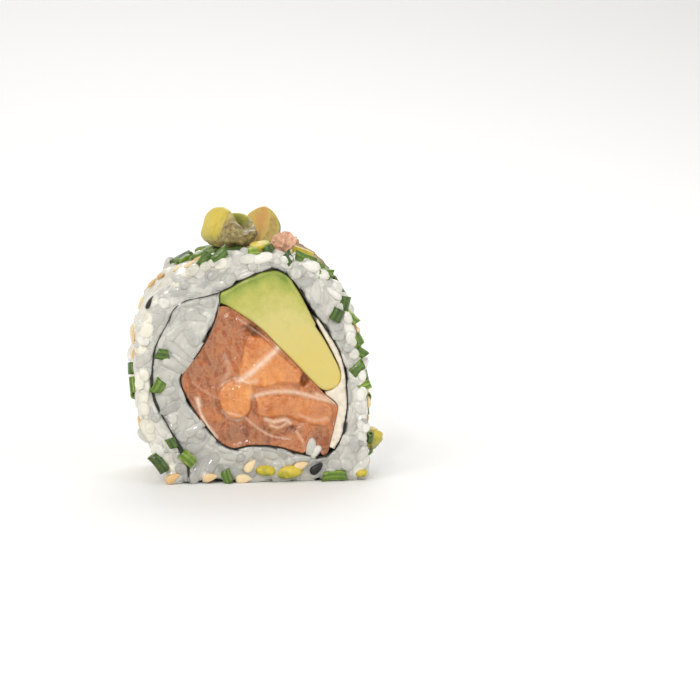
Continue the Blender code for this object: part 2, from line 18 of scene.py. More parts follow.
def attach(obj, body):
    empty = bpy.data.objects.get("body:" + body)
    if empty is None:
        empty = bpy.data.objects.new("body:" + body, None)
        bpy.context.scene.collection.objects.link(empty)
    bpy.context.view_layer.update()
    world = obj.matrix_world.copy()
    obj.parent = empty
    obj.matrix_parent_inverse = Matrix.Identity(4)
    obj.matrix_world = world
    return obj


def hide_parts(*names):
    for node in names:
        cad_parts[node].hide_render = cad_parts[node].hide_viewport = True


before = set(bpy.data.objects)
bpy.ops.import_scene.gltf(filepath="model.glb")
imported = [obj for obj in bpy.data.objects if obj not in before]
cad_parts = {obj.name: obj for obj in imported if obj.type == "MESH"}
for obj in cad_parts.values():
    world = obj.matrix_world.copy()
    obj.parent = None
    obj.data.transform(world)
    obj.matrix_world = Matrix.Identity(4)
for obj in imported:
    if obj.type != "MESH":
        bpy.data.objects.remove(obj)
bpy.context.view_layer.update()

MM = 0.001
FACE = 14.0
# Points of small things lie no lower than this
GROUND = 0.02
# Distance between the points of the roll's surface
SURFACE_STEP = 0.8
ROLL_SURFACE = [
    (21.0, 0.0), (23.3, 3.2), (23.7, 9.0), (23.6, 15.0), (23.0, 20.5), (22.1, 26.0), (20.9, 31.5),
    (18.7, 37.2), (15.2, 42.0), (10.6, 45.0), (5.0, 46.4), (-1.0, 46.6), (-7.5, 45.6), (-13.2, 43.3),
    (-18.0, 39.7), (-21.3, 34.8), (-23.1, 29.0), (-23.6, 23.0), (-23.2, 17.0), (-22.0, 11.0), (-19.6, 5.4),
    (-15.6, 0.0),
]
NORI_PATH = [
    (-6.6, 36.3), (-7.3, 33.4), (-8.7, 29.9), (-10.5, 26.8), (-12.4, 24.3), (-14.2, 22.0), (-14.2, 19.8),
    (-12.8, 16.8), (-11.2, 14.0), (-9.0, 11.0), (-6.8, 8.4), (-4.0, 6.9), (-0.8, 7.4), (2.2, 7.4),
    (5.4, 7.0), (8.2, 6.1), (11.2, 5.3), (14.2, 5.0), (16.6, 6.5), (18.0, 9.2), (18.8, 12.8),
    (19.1, 16.0), (18.9, 19.8), (18.5, 23.0), (17.4, 26.5), (15.6, 29.6), (13.3, 33.0), (10.4, 37.3),
    (8.0, 40.9), (4.4, 42.9), (-1.0, 41.3), (-5.8, 38.7), (-8.6, 37.8), (-11.2, 37.3), (-13.7, 36.6),
    (-15.7, 35.0), (-17.0, 32.2), (-19.2, 28.0), (-19.9, 24.0), (-20.1, 20.0), (-19.2, 16.0),
    (-17.2, 12.2), (-14.9, 7.8), (-13.2, 4.2), (-12.9, 1.4),
]
NORI_LOOP_POINTS = 31
SALMON_OUTLINE = [
    (-5.7, 35.2), (-6.3, 33.0), (-7.8, 29.8), (-9.6, 27.0), (-11.6, 24.4), (-13.4, 22.0), (-13.5, 20.0),
    (-12.1, 17.2), (-10.5, 14.5), (-8.3, 11.6), (-6.2, 9.2), (-3.8, 7.7), (-0.8, 8.3), (2.3, 8.3),
    (5.6, 7.8), (8.4, 6.9), (10.4, 6.6), (11.3, 7.6), (12.2, 8.4), (13.3, 7.2), (14.2, 6.0),
    (15.1, 7.2), (16.0, 9.8), (16.7, 12.8), (17.0, 15.0), (16.2, 16.0), (14.6, 17.4), (13.3, 18.7),
    (11.3, 20.8), (8.3, 24.0), (4.9, 27.5), (1.9, 30.6), (-1.5, 33.2), (-4.2, 35.0),
]
AVOCADO_OUTLINE = [
    (-6.0, 36.9), (-5.2, 36.2), (-1.2, 33.6), (2.2, 31.0), (5.2, 27.9), (8.6, 24.4), (11.6, 21.2),
    (13.6, 19.2), (14.8, 18.7), (16.4, 19.0), (17.3, 19.9), (17.6, 21.2), (17.2, 22.9), (16.2, 25.0),
    (15.2, 26.9), (14.1, 28.9), (12.2, 31.8), (9.4, 36.6), (7.3, 40.0), (6.0, 41.3), (4.3, 42.0),
    (2.2, 41.5), (-0.8, 40.3), (-3.6, 38.9), (-5.6, 37.7),
]
# Middle, size and turns of each nut, as in the frame's solids
KERNELS = {
    "pistachio_open": ((-3.8, -2.4, 50.6), (16.6, 9.0, 8.0), (-64, 8, 0)),
    "pistachio_cut": ((2.9, 5.0, 50.0), (10.8, 7.8, 9.6), (48, 0, 8)),
    "pistachio_skinned": ((13.2, 7.6, 43.0), (10.2, 6.2, 4.0), (-14, 0, 36)),
    "pistachio_slice": ((11.6, 0.8, 45.4), (8.0, 4.4, 3.2), (86, 24, 4)),
    "pistachio_skin": ((6.8, -10.2, 47.6), (5.2, 4.4, 5.0), (25, 20, 0)),
    "pistachio_chip": ((1.9, -11.0, 47.4), (4.2, 3.0, 2.8), (15, 0, 0)),
    "pistachio_side": ((24.2, -8.2, 7.8), (7.0, 5.2, 4.2), (70, 0, 0)),
}
GRAIN_SIZE = (6.8, 3.0, 2.4)


# Curves in the section's plane


def between(a, b, c, d, t):
    """The point at share t from b to c on the Catmull-Rom curve through all four."""
    cubic = (3 * b - a - 3 * c + d) * t**3 + (2 * a - 5 * b + 4 * c - d) * t**2
    return 0.5 * (cubic + (c - a) * t + 2 * b)


def spline(points, spacing, closed=False):
    """Evenly spaced points on a Catmull-Rom curve through the given ones."""
    given = np.array(points, float)
    count = len(given)
    bends = []
    for start in range(count if closed else count - 1):
        near = [start + step for step in (-1, 0, 1, 2)]
        near = [n % count if closed else min(max(n, 0), count - 1) for n in near]
        bends.extend(between(*given[near], t) for t in np.linspace(0, 1, 12, endpoint=False))
    bends = np.array(bends + [bends[0] if closed else given[-1]])
    walked = np.append(0, np.cumsum(np.linalg.norm(np.diff(bends, axis=0), axis=1)))
    stops = np.linspace(0, walked[-1], max(4, round(walked[-1] / spacing)) + 1)
    even = np.column_stack([np.interp(stops, walked, bends[:, k]) for k in (0, 1)])
    return even[:-1] if closed else even


def outward(line, closed=False):
    """The unit normals on the right of a line's direction, which is outwards on an anticlockwise one."""
    if closed:
        along = np.roll(line, -1, axis=0) - np.roll(line, 1, axis=0)
    else:
        along = np.gradient(line, axis=0)
    along /= np.linalg.norm(along, axis=1)[:, None]
    return np.column_stack([along[:, 1], -along[:, 0]])


def nearest(points, line):
    """For each point: its distance to the line, the nearest point, the unit direction there, and its side."""
    start, step = line[:-1], np.diff(line, axis=0)
    from_start = points[:, None] - start[None]
    share = np.clip((from_start * step).sum(2) / (step**2).sum(1), 0, 1)
    foot = start + share[..., None] * step
    gap = np.linalg.norm(points[:, None] - foot, axis=2)
    best = gap.argmin(1)
    row = np.arange(len(points))
    foot, step = foot[row, best], step[best]
    away = points - foot
    side = np.where(step[:, 0] * away[:, 1] - step[:, 1] * away[:, 0] < 0, 1, -1)
    return gap[row, best], foot, step / np.linalg.norm(step, axis=1)[:, None], side


def inside(points, ring):
    """True for the points within the ring, by the crossings to their right."""
    ahead = np.roll(ring, -1, axis=0)
    z = points[:, 1][:, None]
    spans = (ring[:, 1] > z) != (ahead[:, 1] > z)
    rise = np.where(ahead[:, 1] == ring[:, 1], 1, ahead[:, 1] - ring[:, 1])
    reach = ring[:, 0] + (z - ring[:, 1]) / rise * (ahead[:, 0] - ring[:, 0])
    return (spans & (points[:, 0][:, None] < reach)).sum(1) % 2 == 1


def nearest_in_parts(points, line, within=False):
    """The distance of many points to a line, or whether each is on its left, some thousands at a time."""
    parts = [nearest(points[k:k + 4000], line) for k in range(0, len(points), 4000)]
    return np.concatenate([part[3] < 0 if within else part[0] for part in parts])


def hill(x, z, centre, radii, slope=0.0, power=1.5):
    """A round hill of height 1 over an ellipse whose long axis rises by slope degrees."""
    turn = math.radians(slope)
    dx, dz = x - centre[0], z - centre[1]
    u = (dx * math.cos(turn) + dz * math.sin(turn)) / radii[0]
    v = (dz * math.cos(turn) - dx * math.sin(turn)) / radii[1]
    return np.exp(-((u * u + v * v) ** power))


def swells(x, z, hills):
    """The sum of hills, each given as its height and then what hill takes."""
    return sum(height * hill(x, z, *shape) for height, *shape in hills)


def stripe(x, z, line, width):
    """1 on the line, falling off smoothly to 0 at width."""
    gap = nearest(np.column_stack([x, z]), spline(line, 0.5))[0]
    return np.exp(-((gap / width) ** 2))


def rough(points, scale, seed=0.0, octaves=3):
    """Smooth noise from about -1 to 1 at each point, with features of about that many millimetres."""
    shift = Vector((seed * 7.31, seed * 3.17, seed * 5.77))
    return np.array([
        noise.fractal(Vector(p) / scale + shift, 0.8, 2.0, octaves, noise_basis="PERLIN_ORIGINAL")
        for p in points
    ])


def solid(x, y, z):
    """Points from their coordinates, any of which may be one number for all."""
    return np.column_stack(np.broadcast_arrays(x, y, z))


def shaken(points, scale, seeds, octaves=3):
    """A smooth random shift for each point, with a seed for each axis."""
    return np.column_stack([rough(points, scale, seed, octaves) for seed in seeds])


SURFACE = spline(ROLL_SURFACE, SURFACE_STEP)
SURFACE_NORMALS = outward(SURFACE)
GIRTH = SURFACE_STEP * (len(SURFACE) - 1)
NORI = spline(NORI_PATH, 0.7)
TURN = np.linalg.norm(NORI - np.array(NORI_PATH[NORI_LOOP_POINTS]), axis=1).argmin()
LOOP = NORI[: TURN + 1]


# Meshes


def put(name, data):
    """A new object in the scene."""
    made = bpy.data.objects.new(name, data)
    bpy.context.scene.collection.objects.link(made)
    return made


def piece(name, points, faces, material, node, slot=None, values=None):
    """A mesh in millimetres in the place of a node of the frame, with its values as vertex attributes."""
    mesh = bpy.data.meshes.new(name)
    mesh.from_pydata([tuple(p) for p in np.array(points) * MM], [], [tuple(map(int, f)) for f in faces])
    mesh.validate()
    for key, numbers in (values or {}).items():
        mesh.attributes.new(key, "FLOAT", "POINT").data.foreach_set("value", np.array(numbers, np.float32))
    mesh.polygons.foreach_set("use_smooth", [True] * len(mesh.polygons))
    mesh.materials.append(material)
    made = put(name, mesh)
    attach(made, "root")
    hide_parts(node)


def net(rows, count, rows_close=False, count_closes=True):
    """The faces of rows of points, each row joined to the next."""
    faces = []
    for a in range(rows if rows_close else rows - 1):
        for k in range(count if count_closes else count - 1):
            b, after = (a + 1) % rows, (k + 1) % count
            faces.append((a * count + k, b * count + k, b * count + after, a * count + after))
    return faces


def turned_over(faces, start=0):
    """The faces seen from behind, their points counted from start."""
    return [tuple(start + n for n in (face[0], *face[:0:-1])) for face in faces]


def ball(sides, rings, profile=None):
    """A closed body round the X axis, from -1 to 1, of radius profile(x)."""
    profile = profile or (lambda x: math.sqrt(max(0, 1 - x * x)))
    points = [(-1, 0, 0)]
    for k in range(1, rings):
        x = -math.cos(math.pi * k / rings)
        r = profile(x)
        for turn in np.arange(sides) * 2 * math.pi / sides:
            points.append((x, r * math.cos(turn), r * math.sin(turn)))
    points.append((1, 0, 0))
    last = len(points) - 1
    faces = []
    for k in range(sides):
        after = (k + 1) % sides
        faces.append((0, 1 + after, 1 + k))
        for ring in range(rings - 2):
            low, high = 1 + ring * sides, 1 + (ring + 1) * sides
            faces.append((low + k, low + after, high + after, high + k))
        top = 1 + (rings - 2) * sides
        faces.append((top + k, top + after, last))
    return np.array(points, float), faces


def gather(bodies):
    """Many (points, faces) as one."""
    faces, start = [], 0
    for points, body_faces in bodies:
        faces.extend(tuple(start + n for n in face) for face in body_faces)
        start += len(points)
    return np.vstack([points for points, _ in bodies]), faces


def on_ground(bodies):
    """Many (points, faces) as one, flattened where they would be below the ground."""
    points, faces = gather(bodies)
    points[:, 2] = np.maximum(points[:, 2], GROUND)
    return points, faces


def placement(middle, size, turns):
    """Rotation and shift of a body of radius 1, turned about Z, X and Y in degrees."""
    spin, pitch, roll = (math.radians(turn) for turn in turns)
    turned = Matrix.Rotation(spin, 3, "Z") @ Matrix.Rotation(pitch, 3, "X") @ Matrix.Rotation(roll, 3, "Y")
    return np.array(turned), np.array(size) / 2, np.array(middle)


def axes_of(direction, up):
    """Rows: a unit direction, the one across it, and the one nearest to up."""
    x = np.array(direction, float)
    x /= np.linalg.norm(x)
    y = np.cross(up, x)
    y /= np.linalg.norm(y)
    return np.array([x, y, np.cross(x, y)])


# Materials


class Shader:
    """A material whose nodes are added by short calls."""

    def __init__(self, name, roughness, under=None, coat=None, **settings):
        """Under is light from below: weight, reach of its colours, mm. Coat is weight, roughness."""
        self.material = bpy.data.materials.new(name)
        self.material.use_nodes = True
        self.tree = self.material.node_tree
        self.surface = self.tree.nodes["Principled BSDF"]
        settings["Roughness"] = roughness
        if under:
            weight, reach, distance = under
            settings.update(Subsurface_Weight=weight, Subsurface_Radius=reach, Subsurface_Scale=distance * MM)
        if coat:
            settings.update(Coat_Weight=coat[0], Coat_Roughness=coat[1])
        for key, value in settings.items():
            self.surface.inputs[key.replace("_", " ")].default_value = value

    def node(self, kind, **inputs):
        made = self.tree.nodes.new("ShaderNode" + kind)
        for key, value in inputs.items():
            self.feed(made.inputs[key.replace("_", " ")], value)
        return made

    def feed(self, socket, value):
        if hasattr(value, "is_output"):
            self.tree.links.new(value, socket)
        else:
            socket.default_value = value

    def value(self, name):
        made = self.node("Attribute")
        made.attribute_name = name
        return made.outputs["Fac"]

    def math(self, operation, a, b=0.0, clamp=False):
        made = self.node("Math")
        made.operation, made.use_clamp = operation, clamp
        self.feed(made.inputs[0], a)
        self.feed(made.inputs[1], b)
        return made.outputs[0]

    def noise(self, scale, detail=3.0, stretch=(1, 1, 1), distortion=0.0):
        """Noise with features of about scale millimetres, drawn out by stretch."""
        place = self.node("TexCoord").outputs["Object"]
        place = self.node("Mapping", Vector=place, Scale=[1 / MM / s for s in stretch]).outputs[0]
        made = self.node("TexNoise", Vector=place, Scale=1 / scale, Detail=detail, Distortion=distortion)
        return made.outputs["Fac"]

    def swing(self, share, amount):
        """A value from 0 to 1 as one about 0, of that width."""
        return self.math("MULTIPLY", self.math("SUBTRACT", share, 0.5), amount)

    def toned(self, *swings):
        """The vertices' tone with each (value, amount) swinging it."""
        tone = self.value("tone")
        for share, amount in swings:
            tone = self.math("ADD", tone, self.swing(share, amount))
        return tone

    def ramp(self, value, stops):
        made = self.node("ValToRGB", Fac=value)
        elements = made.color_ramp.elements
        while len(elements) < len(stops):
            elements.new(0.5)
        for element, (position, colour) in zip(elements, stops):
            element.position, element.color = position, tint(*colour)
        return made.outputs[0]

    def mix(self, share, a, b, how="MIX"):
        made = self.node("Mix")
        made.data_type, made.blend_type = "RGBA", how
        for name, value in (("Factor", share), ("A", a), ("B", b)):
            self.feed(made.inputs[name], value)
        return made.outputs["Result"]

    def finish(self, colour, bumps):
        """Sets the colour and lays the bumps, (height, strength, distance in mm), over each other.

        The wet coat over them follows the first one only.
        """
        self.feed(self.surface.inputs["Base Color"], colour)
        normal = None
        for height, strength, distance in bumps:
            bump = self.node("Bump", Height=height, Strength=strength, Distance=distance * MM)
            if normal:
                self.feed(bump.inputs["Normal"], normal)
            else:
                self.feed(self.surface.inputs["Coat Normal"], bump.outputs[0])
            normal = bump.outputs[0]
        self.feed(self.surface.inputs["Normal"], normal)
        return self.material


def tint(red, green, blue):
    """A colour as seen on a screen, 0 to 255, as a shader takes it."""
    return (*(((c / 255 + 0.055) / 1.055) ** 2.4 if c > 10 else c / 3295 for c in (red, green, blue)), 1)


# How far red, green and blue light reaches under the surface of the small dry things
SHORT_REACH = (1.0, 0.2, 0.1)


def rice_material():
    shade = Shader("rice", 0.32, (0.3, (1.0, 0.97, 0.93), 0.5), (1.0, 0.1), IOR=1.45)
    tone = shade.math("ADD", shade.value("tone"), shade.math("MULTIPLY", shade.noise(1.1, 4), 0.42))
    light = shade.ramp(tone, [
        (0.0, (138, 138, 133)), (0.45, (186, 184, 176)), (0.75, (210, 207, 197)), (1.0, (234, 231, 221)),
    ])
    warm = shade.mix(shade.value("warm"), light, tint(254, 252, 242), "MULTIPLY")
    # Painted shade: darker grey the deeper a point lies in the rice
    colour = shade.mix(shade.value("deep_shade"), warm, tint(205, 204, 200), "MULTIPLY")
    return shade.finish(colour, [(shade.noise(1.8, 2), 0.5, 0.3), (shade.noise(0.5, 4), 0.7, 0.16)])


def nori_material():
    shade = Shader("nori", 0.5, Specular_IOR_Level=0.4)
    colour = shade.ramp(shade.noise(0.8), [(0.3, (24, 27, 22)), (0.7, (50, 52, 42))])
    return shade.finish(colour, [(shade.noise(0.5), 0.6, 0.1)])


def salmon_material():
    shade = Shader("salmon", 0.34, (0.25, (1.0, 0.45, 0.25), 1.4), (1.0, 0.1), IOR=1.42)
    fine = shade.noise(0.8, 4, (1.5, 1, 0.8), 1.2)
    flesh = shade.ramp(shade.toned((fine, 0.55), (shade.noise(2.5, 3), 0.55)), [
        (0.0, (104, 44, 12)), (0.3, (154, 78, 22)), (0.55, (194, 108, 38)), (0.8, (220, 136, 54)),
        (1.0, (236, 164, 80)),
    ])
    # Fine curled fibres: narrow bands of a twisted noise
    lines = []
    for scale, twist in ((5.0, 0.9), (3.0, 1.3)):
        swirl = shade.noise(scale, 5, (0.7, 1, 1.3), twist)
        band = shade.math("ABSOLUTE", shade.math("SUBTRACT", swirl, 0.5))
        lines.append(shade.math("SUBTRACT", 1.0, shade.math("MULTIPLY", band, 13.0), True))
    fibres = shade.math("MAXIMUM", *lines)
    flesh = shade.mix(shade.math("MULTIPLY", fibres, 0.22), flesh, tint(246, 196, 148))
    fatty = shade.math("MULTIPLY", shade.value("fat"), shade.math("ADD", shade.noise(0.6, 3), 0.55), True)
    colour = shade.mix(fatty, flesh, tint(238, 206, 178))
    wet = shade.noise(1.4, 2, (1, 1, 1), 0.9)
    return shade.finish(colour, [(wet, 0.7, 0.3), (fine, 0.5, 0.15), (fibres, 0.2, 0.1)])


def avocado_material():
    shade = Shader("avocado", 0.42, (0.2, (1.0, 0.8, 0.3), 1.0), (0.2, 0.2))
    colour = shade.ramp(shade.toned((shade.noise(2.2, 4), 0.4), (shade.noise(0.45, 3), 0.18)), [
        (0.0, (118, 140, 42)), (0.18, (152, 164, 66)), (0.4, (184, 182, 88)), (0.65, (208, 196, 120)),
        (1.0, (220, 194, 98)),
    ])
    return shade.finish(colour, [(shade.noise(0.35, 3), 0.35, 0.08), (shade.noise(1.8, 3), 0.35, 0.25)])


def cream_material():
    shade = Shader("cream_cheese", 0.4, (0.3, (1.0, 0.9, 0.8), 1.0))
    colour = shade.ramp(shade.noise(1.0), [(0.3, (222, 210, 190)), (0.7, (240, 230, 212))])
    return shade.finish(colour, [(shade.noise(0.5, 4), 0.5, 0.15)])


def nut_material():
    """Yellow-green flesh; skin, groove and the peach cut come from the vertices."""
    shade = Shader("pistachio", 0.36, (0.15, (1.0, 0.8, 0.2), 0.8))
    uneven = shade.noise(1.4, 4)
    broken = shade.swing(uneven, 0.7)
    flesh = shade.ramp(shade.toned((uneven, 0.7)), [
        (0.05, (110, 114, 26)), (0.35, (160, 160, 40)), (0.6, (204, 184, 56)), (0.95, (228, 202, 84)),
    ])
    cut_tone = shade.math("ADD", shade.value("cut"), shade.math("MULTIPLY", broken, 0.9))
    peach = shade.ramp(cut_tone, [(0.25, (204, 190, 84)), (0.6, (208, 182, 92)), (1.0, (204, 156, 84))])
    cut = shade.mix(shade.math("MULTIPLY", shade.value("cut"), 3.5, True), flesh, peach)
    brown = shade.ramp(broken, [(0.3, (92, 58, 26)), (0.7, (134, 96, 44))])
    groove = shade.mix(shade.value("groove"), cut, brown)
    flaky = shade.math("MULTIPLY", shade.value("skin"), shade.math("ADD", shade.noise(0.8, 4), 0.6), True)
    beige = shade.ramp(shade.noise(0.9, 4), [
        (0.3, (98, 82, 42)), (0.5, (146, 128, 78)), (0.7, (186, 168, 118)),
    ])
    colour = shade.mix(flaky, groove, beige)
    return shade.finish(colour, [(shade.noise(0.4, 4), 0.5, 0.15), (shade.noise(1.3), 0.35, 0.3)])


def skin_material():
    """Papery brown-purple skin, or pink-brown where pink is 1."""
    shade = Shader("pistachio_skin", 0.6, (0.1, SHORT_REACH, 0.5))
    streaks = shade.noise(0.7, 5, (3.0, 1, 1))
    brown = shade.ramp(streaks, [(0.25, (84, 58, 48)), (0.5, (136, 106, 76)), (0.72, (154, 142, 76))])
    pink = shade.ramp(shade.noise(0.9, 5), [(0.3, (190, 134, 104)), (0.7, (244, 202, 170))])
    colour = shade.mix(shade.value("pink"), brown, pink)
    return shade.finish(colour, [(shade.noise(0.45, 4), 0.7, 0.2), (streaks, 0.4, 0.2)])


def chive_material():
    shade = Shader("chives", 0.34, (0.1, SHORT_REACH, 0.5), Coat_Weight=0.25)
    outer = shade.ramp(shade.toned((shade.noise(1.1, 4), 0.7)), [
        (0.0, (44, 66, 12)), (0.45, (84, 118, 26)), (0.75, (126, 152, 42)), (1.0, (190, 198, 98)),
    ])
    colour = shade.mix(shade.value("hollow"), outer, tint(112, 140, 52))
    return shade.finish(colour, [(shade.noise(0.5, 3), 0.4, 0.1)])


def seed_material():
    shade = Shader("sesame", 0.42, (0.1, SHORT_REACH, 0.5))
    tone = shade.math("ADD", shade.value("tone"), shade.math("MULTIPLY", shade.noise(0.7), 0.25))
    colour = shade.ramp(tone, [
        (0.1, (18, 16, 16)), (0.28, (30, 26, 24)), (0.4, (198, 142, 70)), (0.7, (224, 186, 128)),
        (1.0, (238, 216, 172)),
    ])
    return shade.finish(colour, [(shade.noise(0.4, 3), 0.4, 0.08)])


# The filling


def up_to_nori(rim, free=None):
    """Moves the points of a filling's rim that lie near the nori until they touch it."""
    touch, close, far, rise = 0.12, 0.9, 1.7, 1.975
    gap, foot, _, side = nearest(rim, NORI)
    wanted = np.where(gap < close, touch, touch + (gap - close) * rise)
    wanted = np.where((gap < far) | (side > 0), wanted, gap)
    away = (rim - foot) / np.maximum(gap, 1e-6)[:, None]
    moved = np.where(inside(rim, LOOP)[:, None], foot + away * wanted[:, None], foot - away * touch)
    return moved if free is None else np.where(free(rim)[:, None], rim, moved)


def slab(outline, spacing, relief, free=None, step=0.3):
    """A piece that runs through the roll: two cut faces in fine triangles, joined by a wall.

    relief(x, z, way) is the height of a face above its plane.
    """
    grow, edge_wide, edge_drop, side_steps = 0.2, 0.4, 0.3, 8
    rim = spline(outline, spacing, closed=True)
    rim = up_to_nori(rim + grow * outward(rim, True), free)
    count, closed = len(rim), np.vstack([rim, rim[:1]])
    jitter = np.random.default_rng(count)
    low, high = rim.min(axis=0), rim.max(axis=0)
    grid = np.stack(np.meshgrid(*(np.arange(a, b, step) for a, b in zip(low, high))), axis=-1).reshape(-1, 2)
    grid = grid + jitter.uniform(-0.25, 0.25, grid.shape) * step
    rows = [rim]
    for depth in (0.08, 0.2, edge_wide):
        row = rim - depth * outward(rim, True)
        rows.append(row[inside(row, rim) & (nearest(row, closed)[0] > 0.8 * depth)])
    rows.append(grid[inside(grid, rim) & (nearest_in_parts(grid, closed) > edge_wide + 0.5 * step)])
    found = delaunay_2d_cdt([Vector(p) for p in np.vstack(rows)], [], [list(range(count))], 1, 1e-5)
    flat, triangles = np.array([tuple(v) for v in found[0]]), [tuple(f) for f in found[2]]
    place = {given: index for index, sources in enumerate(found[3]) for given in sources}
    edge = [place[k] for k in range(count)]
    depth = nearest_in_parts(flat, closed)
    drop = edge_drop * (1 - np.minimum(depth / edge_wide, 1)) ** 2
    layers = []
    for way in (-1, 1):
        height = FACE - 0.25 - drop + relief(flat[:, 0], flat[:, 1], way) * np.minimum(0.3 + depth / 0.8, 1)
        layers.append(solid(flat[:, 0], way * height, flat[:, 1]))
    faces = triangles + [tuple(len(flat) + n for n in face[::-1]) for face in triangles]
    rings = [edge]
    for share in np.linspace(-1, 1, side_steps + 2)[1:-1]:
        start = sum(len(layer) for layer in layers)
        layers.append(solid(rim[:, 0], share * (FACE - 0.6), rim[:, 1]))
        rings.append(list(range(start, start + count)))
    rings.append([len(flat) + n for n in edge])
    for front, behind in zip(rings, rings[1:]):
        for k in range(count):
            after = (k + 1) % count
            faces.append((front[k], behind[k], behind[after], front[after]))
    return np.vstack(layers), faces


def mirrored(x, way, about=2.0):
    """The back face repeats the front one, turned over."""
    return x if way < 0 else about - x


# Lines of fat on the salmon's face: the line, its width and its strength
FAT_LINES = [
    ([(5.9, 28.0), (4.4, 26.4), (2.0, 24.2), (-0.4, 22.2), (-2.4, 20.8)], 0.62, 0.9),
    ([(-0.2, 17.2), (2.6, 18.0), (5.6, 18.3), (8.6, 18.1), (11.6, 17.3), (16.6, 15.9)], 0.42, 0.72),
    ([(-11.0, 16.8), (-10.6, 14.8), (-9.5, 12.4), (-7.2, 9.2)], 0.26, 0.9),
    ([(-11.0, 17.0), (-10.7, 15.8)], 0.5, 0.9),
    ([(-5.4, 14.4), (-1.8, 13.3), (0.2, 11.6), (3.6, 9.4), (7.4, 8.6)], 0.2, 0.55),
    ([(2.6, 12.8), (4.4, 12.2), (6.6, 12.6), (7.6, 11.8)], 0.35, 0.75),
    ([(3.6, 11.5), (5.4, 11.0), (7.2, 12.2)], 0.22, 0.65),
    ([(-5.4, 25.6), (-4.8, 22.6), (-6.2, 19.8)], 0.45, 0.28),
    ([(-12.0, 20.4), (-9.0, 18.2), (-6.4, 17.0)], 0.2, 0.3),
    ([(9.4, 13.6), (12.4, 12.4), (15.0, 12.8)], 0.3, 0.35),
    ([(13.0, 17.6), (14.8, 16.9), (16.4, 16.2)], 0.4, 0.7),
    ([(-3.4, 21.0), (-1.6, 20.4), (0.8, 20.6)], 0.4, 0.55),
    ([(8.8, 10.2), (9.8, 8.8), (10.4, 7.2)], 0.2, 0.5),
    ([(-2.6, 33.0), (0.2, 30.9), (3.4, 28.6)], 0.16, 0.5),
    ([(-6.0, 14.6), (-4.8, 13.3), (-3.0, 12.6), (-1.8, 13.2)], 0.28, 0.62),
]


# Torn flakes of the salmon's face: outline, step at the edge, width of the step
FLAKES = [
    ([(-6.3, 19.2), (-3.6, 20.9), (-0.6, 20.4), (0.1, 18.2), (-0.3, 15.6), (-1.3, 13.6), (-2.8, 12.9),
      (-4.4, 13.2), (-5.8, 14.4), (-6.9, 16.9)], 0.8, 0.6),
    ([(-1.0, 29.2), (1.8, 29.2), (5.0, 26.3), (8.0, 23.5), (9.6, 22.4), (10.0, 21.3), (9.3, 19.9),
      (6.0, 20.2), (2.8, 19.4), (-0.6, 19.8), (-2.6, 21.4), (-2.0, 25.0)], 0.65, 0.5),
    ([(-0.2, 16.4), (2.6, 17.2), (6.0, 17.5), (11.5, 16.7), (15.9, 15.0), (15.0, 11.4), (9.6, 12.4),
      (6.6, 13.4), (3.0, 13.2), (0.4, 14.2)], 0.6, 0.5),
    ([(8.4, 10.4), (11.8, 12.0), (15.8, 11.6), (16.0, 9.0), (14.4, 6.4), (12.9, 8.9), (10.4, 7.4)],
     0.35, 0.5),
    ([(-4.9, 34.0), (-5.6, 31.6), (-4.0, 29.6), (-2.2, 28.6), (-2.6, 30.8), (-1.4, 32.4)], 0.25, 0.8),
]
# Furrows in that face: the line, its width, its depth and how much painted shade darkens it
SALMON_FURROWS = [
    ([(-6.8, 17.4), (-6.2, 14.4), (-3.6, 12.5), (-1.2, 13.4)], 0.4, 0.40, 0.12),
    ([(-8.6, 26.0), (-7.0, 22.6), (-8.2, 19.4)], 0.35, 0.25, 0),
    ([(-2.0, 11.6), (2.4, 10.2), (5.2, 9.8), (8.4, 9.0)], 0.3, 0.20, 0),
]
# Its tongue and its hollows: height, middle, radii, slope and steepness
SALMON_HILLS = [
    (0.40, (-2.9, 15.6), (2.2, 2.4), 0, 1.2), (-0.35, (-3.4, 20.4), (3.4, 1.0), 10, 2),
    (-1.20, (0.6, 30.6), (1.8, 0.8), -28, 2), (-0.40, (-1.6, 31.2), (1.0, 0.6), -28, 2),
    (-1.40, (10.7, 21.0), (0.9, 1.7), -20, 2.5), (-0.80, (0.3, 15.6), (0.6, 2.2), 12, 2),
    (-0.50, (7.9, 10.7), (1.2, 0.6), 10, 2),
]
# Where it is lighter or darker, likewise; the four entries at hollows of SALMON_HILLS are painted shade in
# them
SALMON_TONES_AND_SHADE = [
    (0.10, (2.0, 20.0), (7.0, 3.0)), (-0.14, (-8.5, 22.0), (5.0, 8.0)), (-0.22, (-2.0, 9.8), (8.0, 2.4), -4),
    (-0.14, (-4.2, 31.0), (3.6, 4.5), 60), (-0.36, (0.6, 30.6), (2.0, 1.0), -28, 2),
    (-0.20, (14.0, 8.5), (3.0, 3.4)), (-0.22, (10.7, 21.0), (1.2, 1.9), -20, 2.5),
    (-0.30, (0.3, 15.6), (0.8, 2.4), 12, 2), (-0.25, (7.9, 10.7), (1.4, 0.8), 10, 2),
]


def flake_step(x, z, outline, width):
    """1 inside a flake and 0 outside, over an edge of that width."""
    ring, points = spline(outline, 0.5, closed=True), np.column_stack([x, z])
    gap = nearest_in_parts(points, np.vstack([ring, ring[:1]]))
    return 1 / (1 + np.exp(-np.where(inside(points, ring), gap, -gap) * 6 / width))


